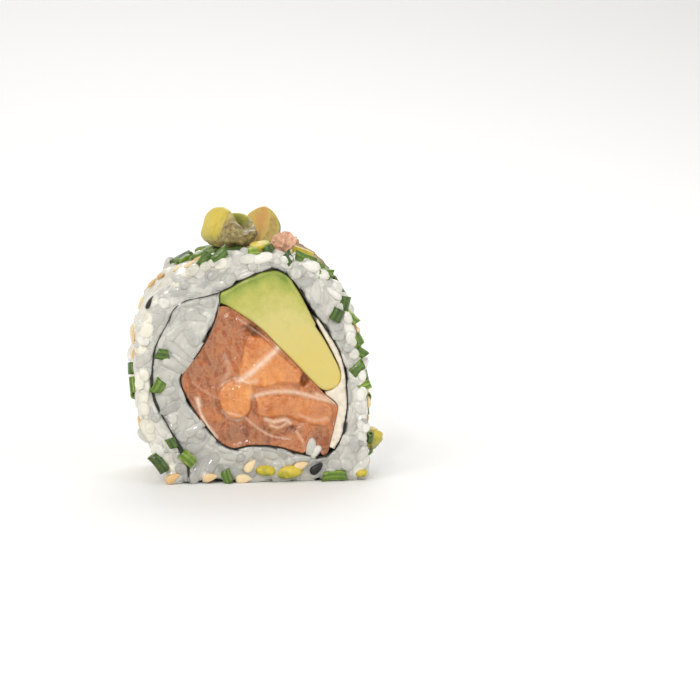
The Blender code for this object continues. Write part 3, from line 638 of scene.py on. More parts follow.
def salmon_relief(x, z, way):
    """Waves, fibres, flakes with their edges, the tongue, hollows and furrows, and raised fat."""
    x = mirrored(x, way)
    here, turned = solid(x, 3.0 * way, z), solid(x + z, 3.0 * way, 3.2 * (x - z))
    height = 0.22 * rough(here, 5.0, 1.0) + 0.10 * rough(here, 1.3, 2.0) + 0.07 * rough(turned, 2.4, 3.0)
    for outline, step, width in FLAKES:
        height += step * flake_step(x, z, outline, width) - 0.3 * step
    height += swells(x, z, SALMON_HILLS)
    for line, width, depth, _ in SALMON_FURROWS:
        height -= depth * stripe(x, z, line, width)
    for line, width, _ in FAT_LINES[:3]:
        height += 0.10 * stripe(x, z, line, width)
    return height


def make_salmon():
    """The block with its values: lighter flakes, painted shade in hollows and furrows, lines of fat."""
    points, faces = slab(SALMON_OUTLINE, spacing=0.34, relief=salmon_relief, step=0.27)
    z = points[:, 2]
    x = np.where(points[:, 1] > 0, mirrored(points[:, 0], 1), points[:, 0])
    fat = np.max([strength * stripe(x, z, line, width) for line, width, strength in FAT_LINES], axis=0)
    steps = [flake_step(x, z, outline, width) for outline, _, width in FLAKES]
    steps[0] *= np.clip((21.5 - z) / 3, 0, 1)
    tone = 0.44 + 0.34 * steps[0] + 0.24 * steps[1] + 0.16 * steps[2] + 0.04 * steps[3]
    tone += swells(x, z, SALMON_TONES_AND_SHADE)
    # Painted shade along the furrows
    for line, width, _, furrow_shade in SALMON_FURROWS:
        tone -= furrow_shade * stripe(x, z, line, width)
    piece("salmon_block", points, faces, salmon_material(), "salmon", values={"tone": tone, "fat": fat})


def avocado_relief(x, z, way):
    here = solid(x, 5.0 * way, z)
    return 0.3 + 0.25 * rough(here, 9.0, 4.0) + 0.05 * rough(here, 1.5, 5.0)


def make_avocado():
    """The wedge, green along its skin and yellow towards the stone."""
    def off_nori(rim):
        return (rim[:, 0] > 12.5) & (rim[:, 1] < 31.5)

    points, faces = slab(AVOCADO_OUTLINE, spacing=0.4, relief=avocado_relief, free=off_nori)
    flat = points[:, [0, 2]]
    skin = spline([(-6.2, 36.8), (-3.6, 38.9), (-0.8, 40.3), (2.2, 41.5), (4.3, 42.2), (6.4, 41.2)], 0.5)
    right = spline([(6.4, 41.2), (9.4, 36.8), (12.2, 31.6), (15.4, 27.4), (17.8, 21.4)], 0.5)
    from_skin = nearest_in_parts(flat, skin)
    tone = 0.28 + 0.74 * (1 - np.exp(-from_skin / 13.0)) - 0.22 * np.exp(-from_skin)
    tone -= 0.20 * np.exp(-nearest_in_parts(flat, right) / 0.7) * np.clip((flat[:, 1] - 26) / 10, 0.2, 1)
    piece("avocado_wedge", points, faces, avocado_material(), "avocado", values={"tone": tone})


def cream_relief(x, z, way):
    here = solid(x, 7.0 * way, z)
    return 0.1 + 0.35 * rough(here, 1.6, 6.0) + 0.5 * hill(x, z, (16.4, 17.8), (1.6, 1.6))


def make_cream():
    """The strip is thin: a ribbon between the nori and the filling's edge, on both faces and between them."""
    outer = spline(NORI_PATH[18:27][::-1], 0.3)
    outer = outer + 0.15 * outward(outer)
    inner = spline([
        (12.9, 32.4), (14.75, 29.0), (15.75, 27.1), (16.75, 25.1), (17.6, 23.1), (17.85, 21.3), (17.5, 19.9),
        (16.2, 18.7), (14.7, 17.9), (16.4, 16.4), (17.25, 15.2), (16.95, 12.7), (16.2, 9.6), (15.5, 7.0),
    ], 0.3)
    share, walked = np.linspace(0, 1, len(outer)), np.linspace(0, 1, len(inner))
    inner = np.column_stack([np.interp(share, walked, inner[:, k]) for k in (0, 1)])
    count, wide, points = len(outer), 9, []
    for way in (-1, 1):
        for s in np.linspace(0, 1, wide):
            line = outer * (1 - s) + inner * s
            height = FACE - 0.3 + 0.25 * math.sin(math.pi * s) + cream_relief(line[:, 0], line[:, 1], way)
            points.append(solid(line[:, 0], way * height, line[:, 1]))
    back, sheet = wide * count, net(wide, count, count_closes=False)
    rim = [*range(count), *range(2 * count - 1, back, count)]
    rim += [*range(back - 2, back - count - 1, -1), *range(back - 2 * count, 0, -count)]
    wall = [(a, b, back + b, back + a) for a, b in zip(rim, rim[1:] + rim[:1])]
    faces = sheet + turned_over(sheet, back) + wall
    piece("cream_cheese_strip", np.vstack(points), faces, cream_material(), "cream_cheese")


def make_nori():
    """A thin sheet along the spiral, crinkled, uneven where it is cut, and thicker in three spots: partly its
    own thickness, partly painted shade.
    """
    normals = outward(NORI)
    steps = np.concatenate([[-1, -0.985], np.linspace(-0.95, 0.95, 13), [0.985, 1]])
    # Thicker spots: partly the sheet's own thickness, partly a wider dark band standing in for shade in gaps
    # beside it
    thick_and_gap_shade = swells(NORI[:, 0], NORI[:, 1], [
        (0.22, (-19.8, 19.0), (3.0, 6.0)), (0.36, (-14.6, 6.0), (2.6, 5.0)), (0.08, (18.6, 11.6), (1.6, 2.6)),
    ])
    sheets = []
    for side, shares in ((1, steps), (-1, steps[::-1])):
        for share in shares:
            here = solid(NORI[:, 0], share * FACE, NORI[:, 1])
            half = np.clip(0.09 + 0.06 * rough(here, 1.4, 9.0, 2) + thick_and_gap_shade, 0.05, 0.5)
            half *= 0.6 if abs(share) == 1 else 1
            edge = 0.35 * rough(here * [1, 0, 1], 1.2, 10.0 + np.sign(share), 3)
            y = share * (FACE - 0.15 + edge * (abs(share) > 0.96) + 0.9 * thick_and_gap_shade)
            flat = NORI + normals * (0.06 * rough(here, 1.6, 8.0, 2) + side * half)[:, None]
            sheets.append(solid(flat[:, 0], y, flat[:, 1]))
    count, rows = len(NORI), len(steps)
    faces = turned_over(net(2 * rows, count, rows_close=True, count_closes=False))
    for k in (0, count - 1):
        for r in range(rows - 1):
            quad = [n * count + k for n in (r, r + 1, 2 * rows - 2 - r, 2 * rows - 1 - r)]
            faces.append(tuple(quad if k else quad[::-1]))
    piece("nori_sheet", np.vstack(sheets), faces, nori_material(), "nori")


# Rice


def settle(tries, tightness, propose):
    """Grains thrown one by one onto a flat map: each stays where it overlaps no earlier one by much.

    A grain is (u, v, heading, half length, half width), and what follows is carried along.
    """
    kept, table = [], np.zeros((0, 5))
    for _ in range(tries):
        new = propose()
        if new is None:
            continue
        if kept:
            away = table[:, :2] - np.array(new[:2])
            turn = np.abs(np.cos(table[:, 2] - new[2]))
            cross = np.sqrt(np.maximum(0, 1 - turn**2))
            closest = np.full(len(table), 9.0)
            for heading, long_a, wide_a, long_b, wide_b in (
                (new[2], new[3], new[4], table[:, 3], table[:, 4]),
                (table[:, 2], table[:, 3], table[:, 4], new[3], new[4]),
            ):
                u = away[:, 0] * np.cos(heading) + away[:, 1] * np.sin(heading)
                v = away[:, 1] * np.cos(heading) - away[:, 0] * np.sin(heading)
                room_u = long_a + long_b * turn + wide_b * cross
                room_v = wide_a + wide_b * turn + long_b * cross
                closest = np.minimum(closest, (u / room_u) ** 2 + (v / room_v) ** 2)
            if closest.min() < tightness**2:
                continue
        kept.append(new)
        table = np.vstack([table, new[:5]])
    return kept


GRAIN_SHAPE = ball(10, 10, lambda x: (1 - abs(x) ** 3.0) ** 0.5 * (1 - 0.07 * x))


def grain(draw, middle, direction, up, size):
    """A grain's points and faces: blunt, a little bent, flattened and dented."""
    shape, faces = GRAIN_SHAPE
    bend, dent = draw.uniform(-0.12, 0.12), draw.uniform(0, 0.2)
    points = shape.copy()
    points[:, 2] *= 1 - dent * np.exp(-((points[:, 0] - draw.uniform(-0.5, 0.5)) ** 2) / 0.12)
    points[:, 1] *= 1 + draw.uniform(-0.12, 0.12) * points[:, 0]
    points = points * np.array(size) / 2
    points[:, 1] += bend * points[:, 0] ** 2 / (size[0] / 2)
    points = points @ axes_of(direction, up) + middle
    return points, faces


def fit_grain(points, middle, cut):
    """Presses a grain against the knife's cuts, the nori and the ground."""
    room, reach = 0.1, 5.0
    home_gap, _, _, home = nearest(np.array([[middle[0], middle[2]]]), NORI)
    if home_gap[0] < reach:
        gap, foot, _, side = nearest(points[:, [0, 2]], NORI)
        wrong = side != home[0]
        need = wrong | (gap < room)
        away = (points[:, [0, 2]] - foot) / np.maximum(gap, 1e-6)[:, None]
        pressed = foot + away * np.where(wrong, -1, 1)[:, None] * room
        points[need, 0], points[need, 2] = pressed[need, 0], pressed[need, 1]
        cut = cut - 0.12 * np.exp(-((gap / 0.3) ** 2))
    over = np.maximum(np.abs(points[:, 1]) - cut, 0)
    points[:, 1] -= np.sign(points[:, 1]) * (over - 0.42 * np.tanh(over))
    points[:, 2] = np.maximum(points[:, 2], GROUND)
    return points


def surface_at(place, depth):
    """The section's point that far round the roll's surface and below it, and the normal there."""
    index = min(max(place / SURFACE_STEP, 0), len(SURFACE) - 1.001)
    low, share = int(index), index % 1
    point = SURFACE[low] * (1 - share) + SURFACE[low + 1] * share
    normal = SURFACE_NORMALS[low] * (1 - share) + SURFACE_NORMALS[low + 1] * share
    normal /= np.linalg.norm(normal)
    return point - depth * normal, normal


class Heap:
    """The grains so far, with the tone and the warmth of their points."""

    def __init__(self, draw):
        self.draw, self.bodies, self.tones, self.warms = draw, [], [], []

    def add(self, middle, direction, up, size, cut, warm, light, fit=True):
        points, faces = grain(self.draw, middle, direction, up, size)
        self.bodies.append((fit_grain(points, middle, cut) if fit else points, faces))
        # Painted shade and light: darker at the foot and at the top, lighter at the left
        shade = 0.18 * max(0, 1 - middle[2] / 8) + 0.14 * min(1, max(0, middle[2] / 5 - 8.2))
        shade -= 0.1 * min(1, max(0, -middle[0] / 4 - 3.5))
        # A grain's edges are lighter: partly its own paler rim, partly painted light
        edges = 0.26 * (np.abs(GRAIN_SHAPE[0][:, 1]) - 0.5)
        self.tones.append(light + self.draw.uniform(-0.2, 0.2) - shade + edges)
        self.warms.append(np.full(len(points), warm))


def outer_grains(draw, heap):
    """The outer surface: a top layer of grains and one that fills its gaps."""
    for layer, (depth, tries, tightness) in enumerate(((1.15, 6000, 0.62), (1.6, 3000, 0.66))):
        def propose():
            place, y = draw.uniform(0, GIRTH), draw.uniform(-1, 1) * (FACE - 0.6)
            drift = 2.6 * noise.noise(Vector((place / 9, y / 9, 3.0 * layer)))
            heading = drift + draw.uniform(-0.6, 0.6) + 0.6
            lift = draw.uniform(-0.25, 0.25)
            size = [s * draw.uniform(0.86, 1.08) for s in GRAIN_SIZE]
            return place, y, heading, size[0] / 2 * math.cos(lift), size[1] / 2, lift, size

        for place, y, heading, _, _, lift, size in settle(tries, tightness, propose):
            flat, normal = surface_at(place, depth + draw.uniform(-0.2, 0.3))
            if flat[1] < 0.9:
                continue
            up = np.array([normal[0], 0, normal[1]])
            across = np.array([-normal[1], 0, normal[0]])
            level = math.cos(heading) * across + math.sin(heading) * np.array([0, 1, 0])
            direction = math.cos(lift) * level + math.sin(lift) * up
            warm = min(1, max(0, (4 - flat[0]) / 16)) * draw.uniform(0.8, 1)
            cut = FACE - 0.1 + draw.uniform(-0.3, 0.4)
            heap.add(np.array([flat[0], y, flat[1]]), direction, up, size, cut, warm, light=0.72)


# Layers of grains at the cut faces: how deep, throws, how much they may overlap, and whether they are slender
FACE_LAYERS = ((1.0, 6000, 0.60, False), (1.45, 3500, 0.66, False), (0.85, 900, 0.62, True))


def face_grains(draw, heap):
    """Both cut faces: the rice between the nori's turns, and slender grains pressed along the nori."""
    room = SURFACE - 1.0 * SURFACE_NORMALS

    def propose(slender):
        spot = np.array([draw.uniform(-23.4, 23.6), draw.uniform(0.6, 46.4)])
        if slender:
            spot = NORI[draw.randrange(len(NORI))] + np.array([draw.uniform(-1, 1), draw.uniform(-1, 1)])
        if not inside(spot[None], room)[0] or inside(spot[None], LOOP)[0]:
            return None
        gap, _, along, _ = nearest(spot[None], NORI)
        if not (0.5 < gap[0] < 0.9 if slender else gap[0] > 0.95):
            return None
        heading = math.atan2(along[0][1], along[0][0]) + draw.gauss(0, 0.1 if slender else 0.6)
        lift = draw.choice((0.05, 0.1, 0.2, 0.35, 0.6, 0.95)) * draw.choice((-1, 1))
        size = [s * draw.uniform(0.84, 1.08) for s in GRAIN_SIZE]
        if slender:
            lift, size = 0.2 * lift, [draw.uniform(3.4, 5.4), 2 * gap[0], 1.8]
        tip = size[0] / 2 * math.cos(lift) * np.array([math.cos(heading), math.sin(heading)])
        space = min(nearest((spot + tip)[None], NORI)[0][0], nearest((spot - tip)[None], NORI)[0][0])
        size[0] *= 0.8 if space < 0.8 and not slender else 1.0
        half = max(size[1] / 2, size[0] / 2 * math.cos(lift))
        return spot[0], spot[1], heading, half, size[1] / 2, lift, size

    for way in (-1, 1):
        for depth, tries, tightness, slender in FACE_LAYERS:
            for x, z, heading, _, _, lift, size in settle(tries, tightness, lambda: propose(slender)):
                y = way * (FACE - depth - 0.25 * abs(math.sin(lift)) * size[0] / 2 + draw.uniform(-0.2, 0.2))
                direction = np.array([
                    math.cos(heading) * math.cos(lift), math.sin(lift), math.sin(heading) * math.cos(lift)
                ])
                light = 0.36 + 0.26 * max(0, 1 - nearest(np.array([[x, z]]), room)[0][0] / 1.6)
                cut = FACE + draw.uniform(-0.4, 0.25)
                heap.add(np.array([x, y, z]), direction, [0, way, 0], size, cut, warm=0.0, light=light)


def loose_grains(heap):
    """Two grains that stick out of the salmon's face."""
    for x, z, slope, size in ((11.8, 6.9, 80, (4.0, 2.0, 2.0)), (12.6, 6.0, 50, (3.2, 2.0, 1.9))):
        turn = math.radians(slope)
        direction = [math.cos(turn), 0, math.sin(turn)]
        middle = np.array([x, -FACE + 0.9, z])
        heap.add(middle, direction, [0, -1, 0], size, FACE, warm=0.0, light=0.7, fit=False)


def make_rice():
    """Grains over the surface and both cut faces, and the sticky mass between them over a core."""
    draw = random.Random(5)
    heap = Heap(draw)
    outer_grains(draw, heap)
    face_grains(draw, heap)
    points, faces = gather(heap.bodies)
    loose_grains(heap)
    skin, skin_faces, normals = remeshed([(points, faces), rice_core()], voxel=0.5)
    tree = KDTree(len(points))
    for index, point in enumerate(points):
        tree.insert(point, index)
    tree.balance()
    owner = np.array([tree.find(point)[1] for point in skin])
    # The knife smeared the rice into a film at the upper left
    film = hill(skin[:, 0], skin[:, 2], (-16.0, 37.5), (9.0, 7.0), slope=45)
    film_rise, sink, set_back = 0.17, 0.07, 0.3
    skin = skin + (film_rise * film - sink)[:, None] * normals
    skin[:, 1] = np.clip(skin[:, 1], set_back - FACE, FACE - set_back)
    near = nearest_in_parts(skin[:, [0, 2]], NORI)
    skin[:, 1] *= 1 - 0.008 * np.exp(-((near / 0.4) ** 2))
    tones, warms = np.concatenate(heap.tones), np.concatenate(heap.warms)
    every, all_faces = gather(heap.bodies)
    every += 0.09 * shaken(every, 1.2, (41.0, 42.0, 43.0), 2)
    every[:, 2] = np.maximum(every[:, 2], GROUND)
    material = rice_material()
    for name, where, which, here in (
        ("rice_grains", every, np.arange(len(tones)), all_faces),
        ("rice_between", skin, owner, skin_faces),
    ):
        flat = where[:, [0, 2]]
        below = np.where(nearest_in_parts(flat, SURFACE, True), nearest_in_parts(flat, SURFACE), 0)
        below = np.minimum(below, FACE - np.abs(where[:, 1]))
        # Painted shade, growing with depth below the roll's surface or behind the cut face
        values = {"tone": tones[which], "warm": warms[which], "deep_shade": np.clip((below - 0.5) / 1.6, 0, 1)}
        piece(name, where, here, material, "rice", values=values)


def rice_core():
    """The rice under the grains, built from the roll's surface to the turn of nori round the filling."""
    outer = SURFACE - 1.1 * SURFACE_NORMALS
    outer[:, 1] = np.maximum(outer[:, 1], 0.05)
    hole = LOOP + 0.3 * outward(LOOP, True)
    curve = bpy.data.curves.new("core", "CURVE")
    curve.dimensions, curve.fill_mode, curve.extrude = "2D", "BOTH", FACE - 0.5
    for ring in (outer, hole):
        line = curve.splines.new("POLY")
        line.points.add(len(ring) - 1)
        line.points.foreach_set("co", [n for x, z in ring for n in (x, z, 0, 1)])
        line.use_cyclic_u = True
    mesh = evaluated(put("core", curve))
    mesh.transform(Matrix.Rotation(math.pi / 2, 4, "X"))
    work = bmesh.new()
    work.from_mesh(mesh)
    bmesh.ops.remove_doubles(work, verts=work.verts, dist=0.002)
    bmesh.ops.recalc_face_normals(work, faces=work.faces)
    points = np.array([v.co for v in work.verts])
    faces = [tuple(v.index for v in f.verts) for f in work.faces]
    work.free()
    return points, faces


def evaluated(made):
    """The mesh that an object and its modifiers come to; the object itself goes."""
    bpy.context.view_layer.update()
    mesh = bpy.data.meshes.new_from_object(made.evaluated_get(bpy.context.evaluated_depsgraph_get()))
    bpy.data.objects.remove(made)
    return mesh


def remeshed(bodies, voxel, soften=3):
    """Overlapping bodies as one closed skin, its creases softened, with its normals."""
    points, faces = gather(bodies)
    mesh = bpy.data.meshes.new("raw")
    mesh.from_pydata([tuple(p) for p in points], [], faces)
    raw = put("raw", mesh)
    skin = raw.modifiers.new("skin", "REMESH")
    skin.mode, skin.voxel_size, skin.adaptivity = "VOXEL", voxel, 0.0
    soft = raw.modifiers.new("soft", "SMOOTH")
    soft.factor, soft.iterations = 0.5, soften
    made = evaluated(raw)
    points, normals = np.empty(len(made.vertices) * 3), np.empty(len(made.vertices) * 3)
    made.vertices.foreach_get("co", points)
    made.vertices.foreach_get("normal", normals)
    return points.reshape(-1, 3), [tuple(f.vertices) for f in made.polygons], normals.reshape(-1, 3)


# Toppings

# Chives that the shown side has: x, y, z, heading in the surface or face (degrees), length, on the cut face
CHIVES_SEEN = [
    (-24.6, -8.0, 23.0, 20, 2.4, 0), (-24.0, -11.5, 19.4, 30, 3.8, 0), (-18.8, -13.7, 4.4, -52, 4.2, 1),
    (-17.9, -13.9, 26.2, -10, 2.6, 1), (-18.7, -13.9, 19.8, 60, 2.8, 1), (-16.2, -14.0, 8.4, -60, 2.2, 1),
    (-13.1, -14.0, 5.2, -42, 3.4, 1), (-9.4, -13.3, 45.0, 55, 3.2, 1), (-6.4, -13.6, 45.8, 38, 3.6, 1),
    (-4.0, -9.0, 47.0, 5, 4.0, 0), (0.3, -13.5, 46.5, 5, 2.2, 1), (3.4, -13.0, 46.8, -60, 1.8, 1),
    (7.2, -13.7, 45.2, -65, 2.4, 1), (10.8, -13.3, 45.0, -22, 4.4, 1), (14.7, -13.4, 41.8, -8, 2.6, 1),
    (12.6, -12.6, 43.8, 160, 2.4, 0), (17.0, -14.1, 33.7, 64, 2.6, 1), (18.6, -13.6, 36.0, 76, 2.8, 1),
    (19.8, -13.5, 33.0, -44, 3.0, 1), (21.3, -13.5, 28.5, -62, 2.2, 1), (21.7, -13.2, 26.0, -30, 2.6, 1),
    (21.2, -13.8, 22.8, 44, 3.2, 1), (22.6, -13.2, 19.2, 20, 2.6, 1), (23.6, -9.6, 5.6, 80, 3.8, 0),
    (22.8, -12.8, 8.6, 30, 1.8, 0), (16.4, -14.1, 1.3, 2, 4.8, 1), (-5.3, -14.1, 1.3, -70, 2.8, 1),
]
# Sesame seeds likewise, with their tone: 0 black, 0.5 toasted, 0.8 pale
SEEDS_SEEN = [
    (-21.0, -12.6, 37.0, 40, 0.0, 0), (-23.3, -11.0, 30.6, 80, 0.7, 0), (-24.1, -9.0, 26.4, 70, 0.5, 0),
    (-23.2, -8.0, 11.6, 20, 0.7, 0), (-12.4, -12.0, 44.6, 30, 0.8, 0), (-8.0, -10.6, 46.6, 10, 0.5, 0),
    (-16.2, -14.2, 1.3, 30, 0.55, 1), (-8.7, -14.1, 1.3, 10, 0.7, 1), (-0.6, -14.3, 3.5, 48, 0.85, 1),
    (9.6, -14.2, 3.3, 20, 0.75, 1), (21.2, -12.0, 30.0, 70, 0.8, 0), (12.8, -14.2, 2.7, 40, 0.0, 1),
    (23.2, -11.0, 3.2, 60, 0.6, 0), (-1.8, -13.9, 0.9, 5, 0.85, 1),
]


def chive(draw, length):
    """A hollow cut of chive along X: two walls and slanted ends, pressed flat and a little bent."""
    sides, steps = 18, 5
    slants = (draw.uniform(-0.5, 0.5), draw.uniform(-0.5, 0.5))
    press, bend = draw.uniform(0.52, 0.85), draw.uniform(-0.05, 0.05)
    turns = np.arange(sides) * 2 * math.pi / sides
    radius = 1.08 * draw.uniform(0.85, 1.1)
    waves = np.cos(6 * turns + draw.uniform(0, 6))
    shares, rings = np.linspace(0, 1, steps), []
    for wall, ways in ((radius, shares), (0.6 * radius, shares[::-1])):
        for share in ways:
            y, z = wall * np.cos(turns), wall * np.sin(turns)
            slant = slants[0] * (1 - share) + slants[1] * share
            x = (share - 0.5) * length + slant * y * (2 * abs(share - 0.5))
            ridge = 1 + 0.05 * waves
            rings.append(solid(x, y * ridge + bend * x**2, z * ridge * press))
    hollow = np.repeat([0.0, 1.0], steps * sides)
    # Paler lines on the ridges and at the pressed tube's two edges: partly the chive's own stripes, partly
    # painted highlight
    streaks = np.tile(0.22 * waves + 0.1 * np.cos(2 * turns), 2 * steps)
    return np.vstack(rings), net(2 * steps, sides, rows_close=True), hollow, streaks


def seat(x, y, z, heading, on_face, lift=0.0):
    """A point and axes for a topping: on the cut face, or on the surface nearest to (x, z)."""
    turn = math.radians(heading)
    if on_face:
        return np.array([x, y, z]), axes_of([math.cos(turn), 0, math.sin(turn)], [0, -1, 0])
    index = np.linalg.norm(SURFACE - np.array([x, z]), axis=1).argmin()
    flat, normal = surface_at(SURFACE_STEP * index, -lift)
    across = np.array([normal[1], 0, -normal[0]])
    direction = math.cos(turn) * across + math.sin(turn) * np.array([0, 1, 0])
    return np.array([flat[0], y, flat[1]]), axes_of(direction, [normal[0], 0, normal[1]])


def off_the_nuts(point, margin):
    """True for a point outside every kernel by that margin."""
    for kernel in KERNELS.values():
        turned, half, centre = placement(*kernel)
        local = (point - centre) @ turned / (half + margin)
        if np.linalg.norm(local) < 1:
            return False
    return True


def scattered(draw, count, taken, spacing, shy):
    """Places on the surface, thickest on the top and thin low down, off the nuts and each other.

    Shy is the share of those at the far left that are left out.
    """
    found, tries = [], 6000
    for _ in range(tries):
        if len(found) == count:
            break
        place = GIRTH * (0.5 + 0.5 * draw.uniform(-1, 1) * abs(draw.uniform(0, 1)) ** 0.25)
        y = draw.uniform(-1, 1) * (FACE - 1.6)
        flat = surface_at(place, 0)[0]
        spot = np.array([flat[0], y, flat[1]])
        if flat[0] < -14 and draw.random() < shy:
            continue
        clear = all(np.linalg.norm(spot - other) > spacing for other in taken)
        if clear and flat[1] > 2.0 and off_the_nuts(spot, 0.9):
            found.append(spot)
            taken.append(spot)
    return found


def make_toppings():
    """Chives and sesame seeds: the ones seen and scattered ones, a mesh for each kind."""
    draw = random.Random(23)
    seen = [np.array(c[:3]) for c in CHIVES_SEEN + SEEDS_SEEN]
    chives, seeds = list(CHIVES_SEEN), list(SEEDS_SEEN)
    for spot in scattered(draw, 44, seen, spacing=2.5, shy=0.985):
        chives.append((*spot, draw.uniform(0, 180), draw.choice((2.4, 3.0, 3.6, 4.4, 5.4)), 0))
    for spot in scattered(draw, 52, seen, spacing=1.9, shy=0.8):
        heading, black = draw.uniform(0, 360), 0.0 if spot[0] > -10 else 0.7
        seeds.append((*spot, heading, draw.choice((black, 0.5, 0.6, 0.7, 0.8, 0.85, 0.9, 0.95)), 0))
    bodies, tones, hollows = [], [], []
    for x, y, z, heading, length, on_face in chives:
        points, faces, hollow, streaks = chive(draw, length)
        middle, axes = seat(x, y, z, heading, on_face, draw.uniform(0.0, 0.35))
        bodies.append((points @ axes + middle, faces))
        tones.append(streaks + draw.uniform(0.1, 0.75))
        hollows.append(hollow)
    values = {"tone": np.concatenate(tones), "hollow": np.concatenate(hollows)}
    piece("chives", *on_ground(bodies), chive_material(), "rice", values=values)

    shape, faces = ball(12, 10, lambda x: (1 - abs(x) ** 2.2) ** 0.5 * (1 - 0.38 * x) * 0.92)
    bodies, tones = [], []
    for x, y, z, heading, tone, on_face in seeds:
        size = np.array([3.2, 1.9, 0.95]) / 2 * draw.uniform(0.88, 1.08)
        middle, axes = seat(x, y, z, heading, on_face, draw.uniform(-0.1, 0.2))
        bodies.append((shape * size @ axes + middle, faces))
        tones.append(np.full(len(shape), tone))
    values = {"tone": np.concatenate(tones)}
    piece("sesame_seeds", *on_ground(bodies), seed_material(), "rice", values=values)


# Nuts


def catmull(rows, steps):
    """A closed Catmull-Rom curve through rows of any width, with that many steps between two rows."""
    fours = [[rows[(k + n) % len(rows)] for n in (-1, 0, 1, 2)] for k in range(len(rows))]
    return np.array([between(*four, t) for four in fours for t in np.arange(steps) / steps])


def sliced(points, centre, planes, soft=0.12):
    """Presses what stands beyond each plane back onto it, and says how far it stood."""
    beyond = []
    for normal, reach in planes:
        normal = np.array(normal) / np.linalg.norm(normal)
        over = np.maximum((points - centre) @ normal - reach, 0)
        points -= (over * (1 - soft * np.exp(-over)))[:, None] * normal
        beyond.append(over)
    return beyond


def sculpted(name, sides, rings, power=2.0):
    """A nut from a fine ball, boxy for a high power, in its place; then the ball's points and the middle."""
    points, faces = ball(sides, rings)
    points /= (np.abs(points) ** power).sum(1)[:, None] ** (1 / power)
    turned, half, centre = placement(*KERNELS[name])
    return points * half @ turned.T + centre, faces, points, centre


def swell(points, centre, amount):
    """Moves points away from the centre by a share of their distance."""
    points += (points - centre) * amount[:, None]


def no_values(points):
    """A nut's values, all 0."""
    return {key: np.zeros(len(points)) for key in ("tone", "cut", "groove", "skin")}


# Cross-section of the folded kernel, rightwards and up from its furrow, with tone, groove and skin; then the
# same points where the fold has run out
FOLD = np.array([
    (-2.4, -3.4, 0.55, 0.0, 0.5), (-0.6, -3.3, 0.30, 0.0, 0.4), (1.4, -2.7, 0.20, 0.0, 0.5),
    (2.9, -1.3, 0.15, 0.0, 0.6), (3.6, 0.5, 0.20, 0.0, 0.6), (3.6, 2.3, 0.30, 0.0, 0.4),
    (3.1, 3.3, 0.45, 0.0, 0.1), (2.4, 2.7, 0.30, 0.0, 0.0), (1.9, 1.1, 0.15, 0.2, 0.0),
    (1.3, 0.1, 0.10, 0.7, 0.0), (0.7, 0.0, 0.10, 0.8, 0.0), (0.2, 1.1, 0.20, 0.3, 0.0),
    (0.1, 2.6, 0.30, 0.0, 0.0), (-0.4, 3.9, 0.45, 0.0, 0.0), (-1.3, 4.7, 0.65, 0.0, 0.0),
    (-2.2, 3.9, 0.75, 0.0, 0.0), (-3.1, 1.6, 0.80, 0.0, 0.0), (-4.2, -1.1, 0.60, 0.0, 0.1),
    (-3.9, -2.6, 0.55, 0.0, 0.5),
])
SHUT = np.array([
    (-2.6, -2.6), (-0.8, -2.8), (0.8, -2.5), (2.0, -1.9), (2.9, -0.9), (3.2, 0.2), (2.8, 1.1), (2.1, 1.3),
    (1.4, 1.1), (0.8, 1.0), (0.3, 1.2), (-0.3, 1.7), (-0.9, 2.0), (-1.6, 2.2), (-2.4, 2.3), (-3.2, 1.9),
    (-3.9, 0.9), (-4.1, -0.7), (-3.6, -2.0),
])


def open_kernel():
    """A kernel folded along a furrow: a thick bright lobe rolls over it, and a thin olive leaf faces it."""
    axis = spline([
        (-7.6, 5.6), (-6.4, 3.2), (-4.6, 0.2), (-2.9, -2.8), (-1.7, -5.7), (-1.2, -8.0), (-1.3, -10.4),
    ], 0.24)
    heading = np.gradient(axis, axis=0)
    heading /= np.linalg.norm(heading, axis=1)[:, None]
    right = np.column_stack([-heading[:, 1], heading[:, 0]])
    shut_at, shut_fast, blunt_front, blunt_back, furrow_z = 0.68, 18, 5.0, 2.4, 50.4
    rows, values = [], {"tone": [], "groove": [], "skin": []}
    for k, share in enumerate(np.linspace(0, 1, len(axis))):
        shut = 1 / (1 + math.exp(-(share - shut_at) * shut_fast))
        ring = FOLD.copy()
        ring[:, :2] = FOLD[:, :2] * (1 - shut) + SHUT * shut
        ring[:, 0] *= min(1, 0.8 + 0.45 * share)
        ring = catmull(ring, 5)
        taper = max(0, 1 - abs(2 * share - 1) ** (blunt_front if share > 0.5 else blunt_back)) ** 0.5
        u = (ring[:, 0] + 0.8) * taper - 0.8
        w = (ring[:, 1] + 0.6) * (taper * 0.94 + 0.06 * (taper > 0)) - 0.6
        w -= 0.9 * np.maximum(0, share - 0.45) * (w > 0)
        z = furrow_z - 0.6 * share + w
        rows.append(solid(axis[k, 0] + u * right[k, 0], axis[k, 1] + u * right[k, 1], z))
        values["tone"].append(ring[:, 2] - 0.1 * shut)
        values["groove"].append(ring[:, 3] * (1 - shut))
        values["skin"].append(np.clip(ring[:, 4] + 1.1 * shut, 0, 1))
    count, points = len(rows[0]), np.vstack(rows)
    values = {key: np.concatenate(lists) for key, lists in values.items()}
    wrinkle = rough(points, 1.5, 12.0)
    across, upward = rough(points, 1.7, 11.0), rough(points, 1.5, 13.0)
    points += (0.10 + 0.34 * values["skin"])[:, None] * 0.6 * solid(wrinkle, across, upward)
    values["skin"] = np.clip(values["skin"] + 0.4 * wrinkle * (values["skin"] > 0.2), 0, 1)
    values["cut"] = np.zeros(len(points))
    first, last = range(count), range(len(points) - 1, len(points) - count - 1, -1)
    return points, net(len(rows), count) + [tuple(first), tuple(last)], values


